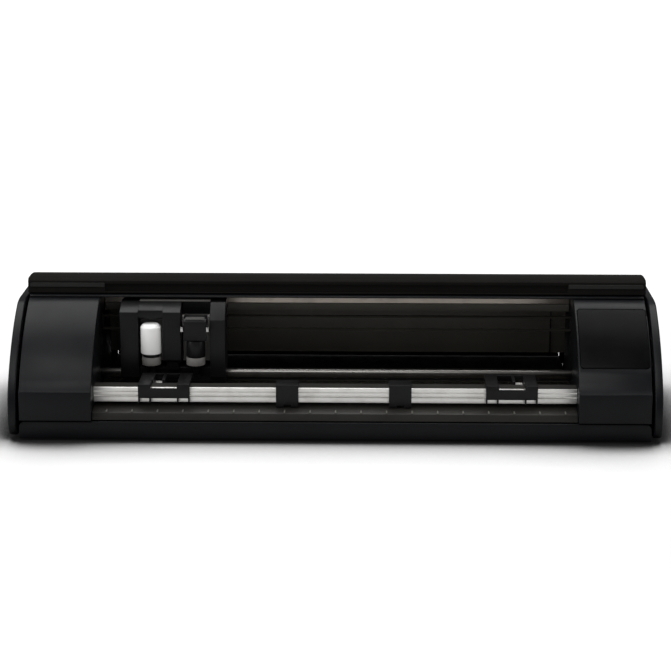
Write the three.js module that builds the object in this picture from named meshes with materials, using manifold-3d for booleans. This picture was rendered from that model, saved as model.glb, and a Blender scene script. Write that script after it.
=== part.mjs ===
// Desktop vinyl cutter with a sliding cover, a pull-out roll drawer and a two-tool carriage.
// Millimetres, +Z up. X runs along the cutter and its front faces -Y.
// Inside the machine group, Y is the depth behind the foremost face, so a piece reads [x, depth, z].
import * as THREE from "three";
import { mergeVertices } from "three/addons/utils/BufferGeometryUtils.js";
import Module from "manifold-3d";

const wasm = await Module();
wasm.setup();

// ---- Driving dimensions ----

// Overall sizes and clearances
const WIDTH = 650;
const DEPTH = 220;
const GAP = 0.3;
const WALL = 2.5;

// Casing
const CAP_THICKNESS = 8;
const CAP_BOTTOM = 4;
const CAP_TOP = 126.5;
const CAP_RADIUS = 173.5;
const SLOT_WIDTH = 2.7;
const BACK_INSET = 2;
const HOUSING_WIDTH = 72.3;
const HOUSING_BACK = 163;
const HOUSING_BASE = 21.5;
const HOUSING_STEP = 14;
const HOUSING_FRONT_LOW = 2.2;
const HOUSING_FRONT_HIGH = 4.7;
const LEDGE_HEIGHT = 50.5;
const LEDGE_RISE = 4.2;
const PAN_BOTTOM = 3;
const PAN_THICKNESS = 2;
const PAN_FRONT = 14;
const FOOT_RADIUS = 9;
const FOOT_INSET = 26;

// Sliding cover and the arc that it follows
const ARC_DEPTH = 158.8;
const ARC_HEIGHT = -30.1;
const PANEL_RADIUS = 171.5;
const COVER_CENTRE_DEPTH = 110;
const COVER_CENTRE_HEIGHT = 21.6;
const COVER_INNER = 119.7;
const COVER_THICKNESS = 4;
const RIM_FRONT = 96.3;
const RIM_BACK = 104;
const RIM_BOTTOM = 130.2;
const RIM_CREST = 142.5;
const RIM_ANGLE = 7.2;
const RIM_CHAMFER = 3;
const COVER_SPAN = 67;
const ROOF_RADIUS = 115.5;
const ROOF_SHOULDER = 64;
const CAP_ROOF_RADIUS = 119;
const CAP_SHOULDER = 67;
const FLANGE_DEPTH = 12;
const FLANGE_THICKNESS = 1.8;
const GRIP_END = 80;
const GRIP_RECESS = 4.2;
const GRIP_BOTTOM = 131.8;
const GRIP_HEIGHT = 7.6;
const TOP_PLATE = 2.5;
const TOP_PLATE_FRONT = 93;
const TOP_SLOPE = 9;
const TOP_DROP = 4;

// Touch display
const DISPLAY_MARGIN_IN = 2.2;
const DISPLAY_MARGIN_OUT = 0.9;
const DISPLAY_TOP_ANGLE = 28.7;
const DISPLAY_BOTTOM_ANGLE = 53.1;
const GLASS_THICKNESS = 1.2;
const DISPLAY_CORNER = 4;
const DISPLAY_CUT = 60;
const SCREEN_BORDER = 9;
const SCREEN_THICKNESS = 3;

// Media path
const MEDIA_HEIGHT = 36;
const ROLLER_DEPTH = 54.7;
const ROLLER_RADIUS = 8;
const ROLLER_SHAFT = 3;
const ROLLER_END_ROOM = 5;
const BUSH_RADIUS = 5;
const TRAY_FRONT = 6.7;
const TRAY_LIP = 28.5;
const TRAY_WALL = 2.2;
const PLATEN_BACK = 104.7;
const PLATEN_THICKNESS = 5;
const STRIP_WIDTH = 8;
const STRIP_THICKNESS = 1;
const EXIT_HEIGHT = 32;
const EXIT_SLOT = 20;
const EXIT_WALL = 2;

// Pinch bar and what it carries
const BAR_FRONT = 22.7;
const BAR_DEPTH = 14;
const BAR_BOTTOM = 36;
const BAR_HEIGHT = 15.5;
const HOLDER_WIDTH = 51.6;
const HOLDER_WALL = 3;
const HOLDER_BACK = 62.7;
const HOLDER_ARM = 12.7;
const HOLDER_FACE_RISE = 4.5;
const LEG_WIDTH = 1.6;
const HOLDER_LEFT_X = -171;
const HOLDER_RIGHT_X = 176.6;
const PINCH_LEFT_X = -178.5;
const PINCH_RIGHT_X = 185.5;
const PINCH_RADIUS = 6;
const PINCH_WIDTH = 8;
const PINCH_AXLE = 1.6;
const CLIP_WIDTH = 22.4;
const CLIP_LEFT_X = -47.6;
const CLIP_RIGHT_X = 65.4;
const CLIP_BOTTOM = 31.7;

// Carriage and its guides
const ROD_DEPTH = 88.7;
const ROD_HEIGHT = 48;
const ROD_RADIUS = 5;
const RAIL_FRONT = 124.7;
const RAIL_DEPTH = 14;
const RAIL_BOTTOM = 106;
const RAIL_HEIGHT = 16;
const BACK_WALL_BOTTOM = 52;
const BACK_WALL_DEPTH = 158;
const CARRIAGE_PARK = 21.8;
const CARRIAGE_WIDTH = 107.3;
const CARRIAGE_FRONT = 72.7;
const CARRIAGE_BACK = 106;
const CARRIAGE_PLATE = 4;
const BEVEL_DEPTH = 17;
const PILLAR_BOTTOM = 45.3;
const PILLAR_TOP = 115.5;
const MIDDLE_BOTTOM = 63;
const TAB_BOTTOM = 54;
const TAB_INSET = 3;
const RIGHT_PILLAR_TOP = 107.5;
const CARRIAGE_TOP = 122.5;
const TOP_PLATE_WALL = 1.2;
const LEFT_PILLAR = 18.8;
const FIRST_BAY = 25;
const MIDDLE_PILLAR = 18.4;
const SECOND_BAY = 29.5;
const NOZZLE_RADIUS = 3.6;
const NOZZLE_GAP = 0.4;
const TOOL_RADIUS = 7;
const TOOL_CAP_RADIUS = 10.6;
const TOOL_CAP_BOTTOM = 72;
const TOOL_CAP_TOP = 103;
const TOOL_TIP = 42;
const RING_WALL = 2.8;
const RING_BOTTOM = 62.5;
const RING_HEIGHT = 6;
const BLADE_RADIUS = 0.9;
const SLEEVE_WALL = 3;
const LIFT_TRAVEL = 4;
const LIFT_TOP = 107;
const LEVER_PIN = 1.6;
const LEVER_BOTTOM = 87;
const LEVER_PIN_DEPTH = 85.7;
const LEVER_KNUCKLE = 3.5;
const LUG_WIDTH = 2.2;
const LEVER_PIN_HEIGHT = 106;

// Drives
const PULLEY_RADIUS = 6;
const PULLEY_SHAFT = 2;
const PULLEY_INSET = 22;
const BELT_HEIGHT = 96;
const BELT_DEPTH = 110.5;
const BELT_WIDTH = 6;
const BELT_THICKNESS = 1.2;
const BELT_MOTOR = 36;
const GEAR_MODULE = 1;
const GEAR_TEETH = 28;
const PINION_TEETH = 12;
const GEAR_WIDTH = 6;
const FEED_MOTOR_LENGTH = 30;

// Roll drawer
const DRAWER_FRONT = 4.7;
const DRAWER_BOTTOM = 2.3;
const DRAWER_TOP = 20.3;
const DRAWER_FACE = 4;
const DRAWER_CORNER = 6;
const DRAWER_BACK = 112;
const DRAWER_MARGIN = 9;
const DRAWER_ROOM = 1.2;
const FEED_ROLLER_RADIUS = 4.6;
const FEED_ROLLER_AXLE = 2;
const FEED_ROLLER_HEIGHT = 14;
const FEED_ROLLER_DEPTHS = [34, 82];

// Electronics
const BOARD_X = 150;
const BOARD_WIDTH = 120;
const BOARD_DEPTH = 40;
const BOARD_FRONT = 150;
const BOARD_HEIGHT = 11;
const BOARD_THICKNESS = 1.6;
const CHIP_WIDTH = 28;
const CHIP_DEPTH = 18;
const CHIP_INSET = 12;
const CHIP_HEIGHT = 2.4;
const PORT_HEIGHT = 18;
const PORT_DEPTH = 12;
const INLET_SIZE = [12, 12];
const USB_SIZE = [13, 11];
const SWITCH_SIZE = [14, 14];
const PORT_PITCH = 24;

// ---- Places worked out from them ----

const BACK_FACE = DEPTH - BACK_INSET;
const CAP_INNER = WIDTH / 2 - CAP_THICKNESS;
const HOUSING_OUTER = CAP_INNER - SLOT_WIDTH;
const OPENING = HOUSING_OUTER - HOUSING_WIDTH;
const CHEEK = OPENING + WALL;
const SPAN = OPENING - GAP;

const PAN_TOP = PAN_BOTTOM + PAN_THICKNESS;
const FLOOR = PAN_TOP + GAP;
const HOUSING_TOP = CAP_TOP - 0.5;
const ROLLER_HEIGHT = MEDIA_HEIGHT - ROLLER_RADIUS;
const TOOL_DEPTH = ROD_DEPTH - ROD_RADIUS - SLEEVE_WALL - NOZZLE_GAP - NOZZLE_RADIUS;
const CARRIAGE_LEFT = -OPENING + CARRIAGE_PARK;
const FIRST_TOOL_X = CARRIAGE_LEFT + LEFT_PILLAR + FIRST_BAY / 2;
const SECOND_TOOL_X = FIRST_TOOL_X + FIRST_BAY / 2 + MIDDLE_PILLAR + SECOND_BAY / 2;
const CARRIAGE_RIGHT = CARRIAGE_LEFT + CARRIAGE_WIDTH;
const PULLEY_X = OPENING + PULLEY_INSET;
const GEAR_X = CHEEK + 4;
const GEAR_CENTRES = (GEAR_MODULE * (GEAR_TEETH + PINION_TEETH)) / 2;
const PINION_DEPTH = ROLLER_DEPTH + GEAR_CENTRES;
const FEED_MOTOR_X = GEAR_X + GEAR_WIDTH + 4;
const DRAWER_HALF = OPENING - DRAWER_MARGIN;
const FIRST_PORT_X = OPENING + 10;

// ---- Solid helpers ----

// A closed three.js geometry as a solid that can be joined and cut.
function solid(geometry) {
  geometry.deleteAttribute("normal");
  geometry.deleteAttribute("uv");
  const merged = mergeVertices(geometry, 1e-4);
  const vertProperties = new Float32Array(merged.attributes.position.array);
  const triVerts = new Uint32Array(merged.index.array);
  return new wasm.Manifold(new wasm.Mesh({ numProp: 3, vertProperties, triVerts }));
}

function join(...bodies) {
  return bodies.reduce((whole, body) => whole.add(body));
}

function cut(body, ...tools) {
  return tools.reduce((rest, tool) => rest.subtract(tool), body);
}

function box([x0, x1], [y0, y1], [z0, z1]) {
  const geometry = new THREE.BoxGeometry(x1 - x0, y1 - y0, z1 - z0);
  geometry.translate((x0 + x1) / 2, (y0 + y1) / 2, (z0 + z1) / 2);
  return solid(geometry);
}

// A side outline (depth, height) drawn out along X.
function sidePrism(points, [x0, x1]) {
  const outline = new THREE.Shape(points.map(([y, z]) => new THREE.Vector2(y, z)));
  const geometry = new THREE.ExtrudeGeometry(outline, { depth: x1 - x0, bevelEnabled: false });
  const turn = new THREE.Matrix4().makeBasis(
    new THREE.Vector3(0, 1, 0),
    new THREE.Vector3(0, 0, 1),
    new THREE.Vector3(1, 0, 0),
  );
  geometry.applyMatrix4(turn);
  geometry.translate(x0, 0, 0);
  return solid(geometry);
}

function rodAlongX(radius, [x0, x1], y, z, sides = 24) {
  const geometry = new THREE.CylinderGeometry(radius, radius, x1 - x0, sides);
  geometry.rotateZ(Math.PI / 2);
  geometry.translate((x0 + x1) / 2, y, z);
  return solid(geometry);
}

function rodAlongY(radius, x, [y0, y1], z, sides = 24) {
  const geometry = new THREE.CylinderGeometry(radius, radius, y1 - y0, sides);
  geometry.translate(x, (y0 + y1) / 2, z);
  return solid(geometry);
}

function rodAlongZ(radius, x, y, [z0, z1], sides = 24) {
  const geometry = new THREE.CylinderGeometry(radius, radius, z1 - z0, sides);
  geometry.rotateX(Math.PI / 2);
  geometry.translate(x, y, (z0 + z1) / 2);
  return solid(geometry);
}

// A turned piece about a vertical axis: the profile lists [radius, height] from the axis and back to it.
function turned(profile, x, y, sides = 24) {
  const points = profile.map(([radius, height]) => new THREE.Vector2(radius, height));
  const geometry = new THREE.LatheGeometry(points, sides);
  geometry.rotateX(Math.PI / 2);
  geometry.translate(x, y, 0);
  return solid(geometry);
}

// The point of the cover's arc at an angle forward of the vertical.
function arcPoint(radius, degrees) {
  const angle = THREE.MathUtils.degToRad(degrees);
  return [ARC_DEPTH - radius * Math.sin(angle), ARC_HEIGHT + radius * Math.cos(angle)];
}

function arc(radius, from, to, steps) {
  return Array.from({ length: steps + 1 }, (_, i) => arcPoint(radius, from + ((to - from) * i) / steps));
}

function coverPoint(radius, degrees) {
  const angle = THREE.MathUtils.degToRad(degrees);
  return [COVER_CENTRE_DEPTH - radius * Math.sin(angle), COVER_CENTRE_HEIGHT + radius * Math.cos(angle)];
}

function coverArc(radius, from, to, steps) {
  return Array.from({ length: steps + 1 }, (_, i) => coverPoint(radius, from + ((to - from) * i) / steps));
}

// Everything under a roof that is round about the cover's centre and flat behind its shoulder.
function underRoof(radius, shoulder) {
  const reach = [-WIDTH, WIDTH];
  const round = rodAlongX(radius, reach, COVER_CENTRE_DEPTH, COVER_CENTRE_HEIGHT, 120);
  return join(round, box(reach, [-DEPTH, 2 * DEPTH], [-shoulder, shoulder]));
}

function angleAtHeight(radius, height) {
  return THREE.MathUtils.radToDeg(Math.acos((height - ARC_HEIGHT) / radius));
}

// ---- Mesh collection ----

const machine = new THREE.Group();
machine.position.y = -DEPTH / 2;

const FINISHES = {
  gloss: { color: 0x24252a, roughness: 0.25, metalness: 0 },
  satin: { color: 0x2d2e33, roughness: 0.5, metalness: 0 },
  cover: { color: 0x3a3b42, roughness: 0.35, metalness: 0.1 },
  glass: { color: 0x08090b, roughness: 0.05, metalness: 0 },
  white: { color: 0xe6e6e4, roughness: 0.4, metalness: 0 },
  grey: { color: 0x8c8d90, roughness: 0.45, metalness: 0.2 },
  aluminium: { color: 0xc9cacc, roughness: 0.35, metalness: 1 },
  steel: { color: 0xb4b6ba, roughness: 0.2, metalness: 1 },
  brass: { color: 0xb08d4a, roughness: 0.3, metalness: 1 },
  rubber: { color: 0x151517, roughness: 0.9, metalness: 0 },
  board: { color: 0x1f5a38, roughness: 0.6, metalness: 0 },
};

function addPiece(name, body, finish) {
  const { vertProperties, triVerts } = body.getMesh();
  const geometry = new THREE.BufferGeometry();
  geometry.setAttribute("position", new THREE.BufferAttribute(vertProperties, 3));
  geometry.setIndex(new THREE.BufferAttribute(triVerts, 1));
  const mesh = new THREE.Mesh(geometry, new THREE.MeshStandardMaterial(FINISHES[finish]));
  mesh.name = name;
  machine.add(mesh);
}

// The left and right of a pair, as [name ending, sign of X].
const SIDES = [["left", -1], ["right", 1]];

function across(side, inner, outer) {
  return side < 0 ? [-outer, -inner] : [inner, outer];
}

// ---- Casing ----

function buildEndCaps() {
  const outline = new THREE.Shape();
  const topAngle = angleAtHeight(CAP_RADIUS, CAP_TOP);
  const [shoulderDepth, shoulderHeight] = arcPoint(CAP_RADIUS, 62.4);
  outline.moveTo(14, CAP_BOTTOM);
  outline.quadraticCurveTo(0, 5, 0, 23);
  outline.quadraticCurveTo(0.3, 37, shoulderDepth, shoulderHeight);
  for (const [depth, height] of arc(CAP_RADIUS, 59, topAngle + 2, 14)) outline.lineTo(depth, height);
  outline.quadraticCurveTo(ARC_DEPTH - 72, CAP_TOP, ARC_DEPTH - 62, CAP_TOP);
  outline.lineTo(DEPTH, CAP_TOP);
  outline.lineTo(DEPTH, CAP_BOTTOM + 8);
  outline.quadraticCurveTo(DEPTH, CAP_BOTTOM, DEPTH - 8, CAP_BOTTOM);
  const points = outline.getPoints(6).map((point) => [point.x, point.y]);
  for (const [ending, side] of SIDES) {
    const slab = sidePrism(points, across(side, CAP_INNER, WIDTH / 2));
    addPiece(`end_cap_${ending}`, slab.intersect(underRoof(CAP_ROOF_RADIUS, CAP_SHOULDER)), "gloss");
  }
}

// The outline of a side housing, drawn in by a wall thickness.
function housingOutline(inset) {
  const radius = PANEL_RADIUS - inset;
  const ledge = LEDGE_HEIGHT + LEDGE_RISE - inset;
  const top = HOUSING_TOP - inset;
  return [
    [HOUSING_FRONT_LOW + inset, HOUSING_BASE + inset],
    [HOUSING_FRONT_HIGH + inset, LEDGE_HEIGHT],
    ...arc(radius, angleAtHeight(radius, ledge), angleAtHeight(radius, top), 14),
    [HOUSING_BACK - TOP_SLOPE - inset, top],
    [HOUSING_BACK - inset, top - TOP_DROP],
    [HOUSING_BACK - inset, FLOOR + inset],
    [HOUSING_STEP + inset, FLOOR + inset],
    [HOUSING_STEP + inset, HOUSING_BASE + inset],
  ];
}

// A rectangle with rounded corners, centred on the origin.
function roundedRectangle(width, height, radius) {
  const [x, y] = [width / 2, height / 2];
  const outline = new THREE.Shape();
  outline.moveTo(-x + radius, -y);
  outline.absarc(x - radius, -y + radius, radius, -Math.PI / 2, 0, false);
  outline.absarc(x - radius, y - radius, radius, 0, Math.PI / 2, false);
  outline.absarc(-x + radius, y - radius, radius, Math.PI / 2, Math.PI, false);
  outline.absarc(-x + radius, -y + radius, radius, Math.PI, (3 * Math.PI) / 2, false);
  return outline;
}

// A slice of the right panel's curved wall with the display's outline, drawn in by a margin.
function displaySlice(margin, outerRadius, thickness) {
  const reach = [DISPLAY_TOP_ANGLE - 2, DISPLAY_BOTTOM_ANGLE + 2];
  const outer = arc(outerRadius, reach[0], reach[1], 10);
  const inner = arc(outerRadius - thickness, reach[1], reach[0], 10);
  const left = OPENING + DISPLAY_MARGIN_IN;
  const right = HOUSING_OUTER - DISPLAY_MARGIN_OUT;
  const wall = sidePrism([...outer, ...inner], [left - 1, right + 1]);
  const halfAngle = THREE.MathUtils.degToRad((DISPLAY_BOTTOM_ANGLE - DISPLAY_TOP_ANGLE) / 2);
  const height = 2 * PANEL_RADIUS * Math.sin(halfAngle) - 2 * margin;
  const outline = roundedRectangle(right - left - 2 * margin, height, DISPLAY_CORNER);
  const geometry = new THREE.ExtrudeGeometry(outline, {
    depth: DISPLAY_CUT,
    bevelEnabled: false,
    curveSegments: 6,
  });
  const middle = (DISPLAY_TOP_ANGLE + DISPLAY_BOTTOM_ANGLE) / 2;
  const [depth, level] = arcPoint(PANEL_RADIUS, middle);
  geometry.translate(0, 0, -DISPLAY_CUT / 2);
  geometry.rotateX(THREE.MathUtils.degToRad(middle));
  geometry.translate((left + right) / 2, depth, level);
  return wall.intersect(solid(geometry));
}

function buildHousings() {
  const holeReach = [OPENING - 1, CHEEK + 1];
  for (const [ending, side] of SIDES) {
    const shell = sidePrism(housingOutline(0), across(side, OPENING, HOUSING_OUTER));
    const hollow = sidePrism(housingOutline(WALL), across(side, CHEEK, HOUSING_OUTER + 1));
    const reach = across(side, ...holeReach);
    const beltRoom = PULLEY_RADIUS + BELT_THICKNESS + 2;
    const beltHole = box(
      reach,
      [BELT_DEPTH - BELT_WIDTH / 2 - 1.5, BELT_DEPTH + BELT_WIDTH / 2 + 1.5],
      [BELT_HEIGHT - beltRoom, BELT_HEIGHT + beltRoom],
    );
    const rodHole = rodAlongX(ROD_RADIUS + GAP, reach, ROD_DEPTH, ROD_HEIGHT);
    const bushHole = rodAlongX(BUSH_RADIUS + GAP, reach, ROLLER_DEPTH, ROLLER_HEIGHT);
    let body = cut(shell, hollow, beltHole, rodHole, bushHole);
    if (side > 0) {
      body = cut(body, displaySlice(0, PANEL_RADIUS + 1, GLASS_THICKNESS + GAP + 1));
      body = cut(body, displaySlice(SCREEN_BORDER, PANEL_RADIUS + 1, 3 * WALL));
    }
    addPiece(`side_housing_${ending}`, body, "gloss");
  }
}

function buildDisplay() {
  addPiece("display_glass", displaySlice(GAP, PANEL_RADIUS, GLASS_THICKNESS), "glass");
  const screenRadius = PANEL_RADIUS - GLASS_THICKNESS - GAP;
  addPiece("display_screen", displaySlice(SCREEN_BORDER + GAP, screenRadius, SCREEN_THICKNESS), "satin");
}

function buildBasePan() {
  const half = CAP_INNER - GAP;
  const back = BACK_FACE;
  const parts = [box([-half, half], [PAN_FRONT, back], [PAN_BOTTOM, PAN_TOP])];
  // Two cross walls stand under the rear platen.
  for (const depth of [DRAWER_BACK + 4, DEPTH - 20]) {
    const ribTop = exitLevel(depth + WALL) - EXIT_WALL - GAP;
    parts.push(box([-SPAN, SPAN], [depth, depth + WALL], [PAN_TOP - 1, ribTop]));
  }
  for (const x of [BOARD_X - BOARD_WIDTH / 2 + 6, BOARD_X + BOARD_WIDTH / 2 - 6]) {
    for (const y of [BOARD_FRONT + 6, BOARD_FRONT + BOARD_DEPTH - 6]) {
      parts.push(rodAlongZ(3, x, y, [PAN_TOP - 1, BOARD_HEIGHT - GAP], 12));
    }
  }
  addPiece("base_pan", join(...parts), "satin");
}

function buildFeet() {
  const places = [["front", PAN_FRONT + FOOT_INSET], ["rear", DEPTH - FOOT_INSET]];
  for (const [row, depth] of places) {
    for (const [ending, side] of SIDES) {
      const x = side * (CAP_INNER - FOOT_INSET);
      const foot = rodAlongZ(FOOT_RADIUS, x, depth, [0, PAN_BOTTOM - GAP], 20);
      addPiece(`foot_${row}_${ending}`, foot, "rubber");
    }
  }
}

function buildRearCover() {
  const half = HOUSING_OUTER;
  const back = BACK_FACE;
  const front = HOUSING_BACK + GAP;
  const shell = box([-half, half], [front, back], [FLOOR, HOUSING_TOP]);
  const room = box([-half + WALL, half - WALL], [front - 1, back - WALL], [FLOOR - 1, HOUSING_TOP]);
  const hollow = room.intersect(underRoof(ROOF_RADIUS - WALL, ROOF_SHOULDER - WALL));
  const slot = box([-SPAN, SPAN], [back - WALL - 1, back + 1], [EXIT_HEIGHT, EXIT_HEIGHT + EXIT_SLOT]);
  const holes = [INLET_SIZE, USB_SIZE, SWITCH_SIZE].map((size, place) => {
    return portBlock(place, size, GAP, [back - 5, back + 1]);
  });
  const roofed = shell.intersect(underRoof(ROOF_RADIUS, ROOF_SHOULDER));
  addPiece("rear_cover", cut(roofed, hollow, slot, ...holes), "satin");
}

function buildTopCover() {
  const bottom = HOUSING_TOP + GAP;
  const top = bottom + TOP_PLATE;
  const back = HOUSING_BACK;
  const outline = [
    [TOP_PLATE_FRONT, bottom],
    [TOP_PLATE_FRONT, top - 1],
    [TOP_PLATE_FRONT + 2, top],
    [back - TOP_SLOPE, top],
    [back, top - TOP_DROP],
    [back, bottom - TOP_DROP],
    [back - TOP_SLOPE, bottom],
  ];
  addPiece("top_cover", sidePrism(outline, [-HOUSING_OUTER, HOUSING_OUTER]), "satin");
}

function buildSlidingCover() {
  const trailing = RIM_ANGLE - COVER_SPAN;
  const steps = 22;
  const outerRadius = COVER_INNER + COVER_THICKNESS;
  const crestDepth = RIM_FRONT + RIM_CHAMFER + 0.7;
  const crestAngle = THREE.MathUtils.radToDeg(Math.asin((COVER_CENTRE_DEPTH - crestDepth) / outerRadius));
  const rimAngle = THREE.MathUtils.radToDeg(Math.asin((COVER_CENTRE_DEPTH - RIM_BACK) / COVER_INNER));
  const outline = [
    [RIM_FRONT, RIM_BOTTOM],
    [RIM_FRONT + 0.7, RIM_CREST],
    ...coverArc(outerRadius, crestAngle, trailing, steps),
    ...coverArc(COVER_INNER, trailing, rimAngle, steps),
    [RIM_BACK, RIM_BOTTOM + 1],
  ];
  const half = HOUSING_OUTER + GAP + FLANGE_THICKNESS;
  const shell = sidePrism(outline, [-half, half]);
  const flangeOuter = coverArc(COVER_INNER + 1, RIM_ANGLE - 2, trailing + 1, steps);
  const flangeInner = coverArc(COVER_INNER - FLANGE_DEPTH, trailing + 1, RIM_ANGLE - 2, steps);
  const flanges = SIDES.map(([, side]) =>
    sidePrism([...flangeOuter, ...flangeInner], across(side, half - FLANGE_THICKNESS, half)),
  );
  const gripHalf = CAP_INNER - GRIP_END;
  const grip = box(
    [-gripHalf, gripHalf],
    [RIM_FRONT - 5, RIM_FRONT + GRIP_RECESS],
    [GRIP_BOTTOM, GRIP_BOTTOM + GRIP_HEIGHT],
  );
  addPiece("sliding_cover", cut(join(shell, ...flanges), grip), "cover");
}

// ---- Media path ----

// The level of the rear platen, which falls towards the exit slot.
function exitLevel(depth) {
  const start = PLATEN_BACK + GAP;
  const end = BACK_FACE - WALL - GAP;
  return THREE.MathUtils.mapLinear(depth, start, end, MEDIA_HEIGHT - 0.5, EXIT_HEIGHT);
}

function buildTrayAndPlatens() {
  const trayBack = ROLLER_DEPTH - ROLLER_RADIUS - 2;
  const rise = MEDIA_HEIGHT - 1.5;
  const tray = [
    [TRAY_FRONT, HOUSING_BASE],
    [TRAY_FRONT + 2, TRAY_LIP],
    [TRAY_FRONT + 5, TRAY_LIP + 0.9],
    [trayBack - 8, rise - 0.6],
    [trayBack, rise],
    [trayBack, rise - TRAY_WALL],
    [TRAY_FRONT + 6, TRAY_LIP + 0.9 - TRAY_WALL],
    [TRAY_FRONT + 4, TRAY_LIP - TRAY_WALL],
    [TRAY_FRONT + TRAY_WALL, HOUSING_BASE],
  ];
  addPiece("front_tray", sidePrism(tray, [-SPAN, SPAN]), "satin");

  const platenFront = ROLLER_DEPTH + ROLLER_RADIUS + 1.5;
  const platenHeights = [MEDIA_HEIGHT - PLATEN_THICKNESS, MEDIA_HEIGHT];
  const platen = box([-SPAN, SPAN], [platenFront, PLATEN_BACK], platenHeights);
  const groove = STRIP_WIDTH / 2 + GAP;
  const seat = box(
    [-SPAN - 1, SPAN + 1],
    [TOOL_DEPTH - groove, TOOL_DEPTH + groove],
    [MEDIA_HEIGHT - STRIP_THICKNESS, MEDIA_HEIGHT + 1],
  );
  addPiece("platen", cut(platen, seat), "satin");
  const stripBottom = MEDIA_HEIGHT - STRIP_THICKNESS + GAP;
  const strip = box(
    [-SPAN, SPAN],
    [TOOL_DEPTH - STRIP_WIDTH / 2, TOOL_DEPTH + STRIP_WIDTH / 2],
    [stripBottom, stripBottom + STRIP_THICKNESS],
  );
  addPiece("cutting_strip", strip, "satin");

  const exitStart = PLATEN_BACK + GAP;
  const exitEnd = BACK_FACE - WALL - GAP;
  const exit = [
    [exitStart, exitLevel(exitStart)],
    [exitEnd, exitLevel(exitEnd)],
    [exitEnd, exitLevel(exitEnd) - EXIT_WALL],
    [exitStart, exitLevel(exitStart) - EXIT_WALL],
  ];
  addPiece("rear_platen", sidePrism(exit, [-SPAN, SPAN]), "satin");
}

function gearOutline(teeth, phase) {
  const pitch = (GEAR_MODULE * teeth) / 2;
  const root = pitch - 1.15 * GEAR_MODULE;
  const tip = pitch + 0.8 * GEAR_MODULE;
  const step = (2 * Math.PI) / teeth;
  const points = [];
  for (let i = 0; i < teeth; i += 1) {
    const middle = phase + i * step;
    for (const [radius, spread] of [[root, -0.3], [tip, -0.13], [tip, 0.13], [root, 0.3]]) {
      const angle = middle + spread * step;
      points.push([radius * Math.cos(angle), radius * Math.sin(angle)]);
    }
  }
  return points;
}

function gear(teeth, phase, [x0, x1], y, z) {
  return sidePrism(gearOutline(teeth, phase).map(([dy, dz]) => [y + dy, z + dz]), [x0, x1]);
}

function buildDriveRoller() {
  const body = SPAN - ROLLER_END_ROOM;
  const shaftRight = GEAR_X + GEAR_WIDTH + 1.5;
  const roller = join(
    rodAlongX(ROLLER_RADIUS, [-body, body], ROLLER_DEPTH, ROLLER_HEIGHT),
    rodAlongX(ROLLER_SHAFT, [-CHEEK - 2, shaftRight], ROLLER_DEPTH, ROLLER_HEIGHT, 16),
  );
  addPiece("drive_roller", roller, "steel");
  for (const [ending, side] of SIDES) {
    const reach = across(side, OPENING, CHEEK);
    const bore = across(side, OPENING - 1, CHEEK + 1);
    const bush = cut(
      rodAlongX(BUSH_RADIUS, reach, ROLLER_DEPTH, ROLLER_HEIGHT),
      rodAlongX(ROLLER_SHAFT + GAP, bore, ROLLER_DEPTH, ROLLER_HEIGHT, 16),
    );
    addPiece(`roller_bush_${ending}`, bush, "brass");
  }
  const face = [GEAR_X, GEAR_X + GEAR_WIDTH];
  const wheel = cut(
    gear(GEAR_TEETH, 0, face, ROLLER_DEPTH, ROLLER_HEIGHT),
    rodAlongX(ROLLER_SHAFT + GAP, [GEAR_X - 1, GEAR_X + GEAR_WIDTH + 1], ROLLER_DEPTH, ROLLER_HEIGHT, 16),
  );
  addPiece("roller_gear", wheel, "white");
}

function buildFeedMotor() {
  const face = [GEAR_X, GEAR_X + GEAR_WIDTH];
  const shaft = [GEAR_X - 1, FEED_MOTOR_X + 8];
  // A gap of the pinion faces the tooth of the gear on the line of centres.
  const phase = Math.PI + Math.PI / PINION_TEETH;
  const pinion = join(
    gear(PINION_TEETH, phase, face, PINION_DEPTH, ROLLER_HEIGHT),
    rodAlongX(PULLEY_SHAFT, shaft, PINION_DEPTH, ROLLER_HEIGHT, 12),
  );
  addPiece("feed_pinion", pinion, "brass");
  const half = ROLLER_HEIGHT - FLOOR - WALL - GAP;
  const motor = cut(
    box(
      [FEED_MOTOR_X, FEED_MOTOR_X + FEED_MOTOR_LENGTH],
      [PINION_DEPTH - half, PINION_DEPTH + half],
      [ROLLER_HEIGHT - half, ROLLER_HEIGHT + half],
    ),
    rodAlongX(PULLEY_SHAFT + GAP, [FEED_MOTOR_X - 1, FEED_MOTOR_X + 9], PINION_DEPTH, ROLLER_HEIGHT, 12),
  );
  addPiece("feed_motor", motor, "steel");
}

// ---- Pinch bar ----

function buildPinchBar() {
  const back = BAR_FRONT + BAR_DEPTH;
  const top = BAR_BOTTOM + BAR_HEIGHT;
  const grooveTop = BAR_BOTTOM + 7;
  const outline = [
    [BAR_FRONT, BAR_BOTTOM],
    [BAR_FRONT, grooveTop - 1.6],
    [BAR_FRONT + 0.9, grooveTop - 1.6],
    [BAR_FRONT + 0.9, grooveTop],
    [BAR_FRONT, grooveTop],
    [BAR_FRONT, top - 1],
    [BAR_FRONT + 1, top],
    [back, top],
    [back, BAR_BOTTOM],
  ];
  addPiece("pinch_bar", sidePrism(outline, [-SPAN, SPAN]), "aluminium");
}

function pinchHeight() {
  return MEDIA_HEIGHT + GAP + PINCH_RADIUS;
}

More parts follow.
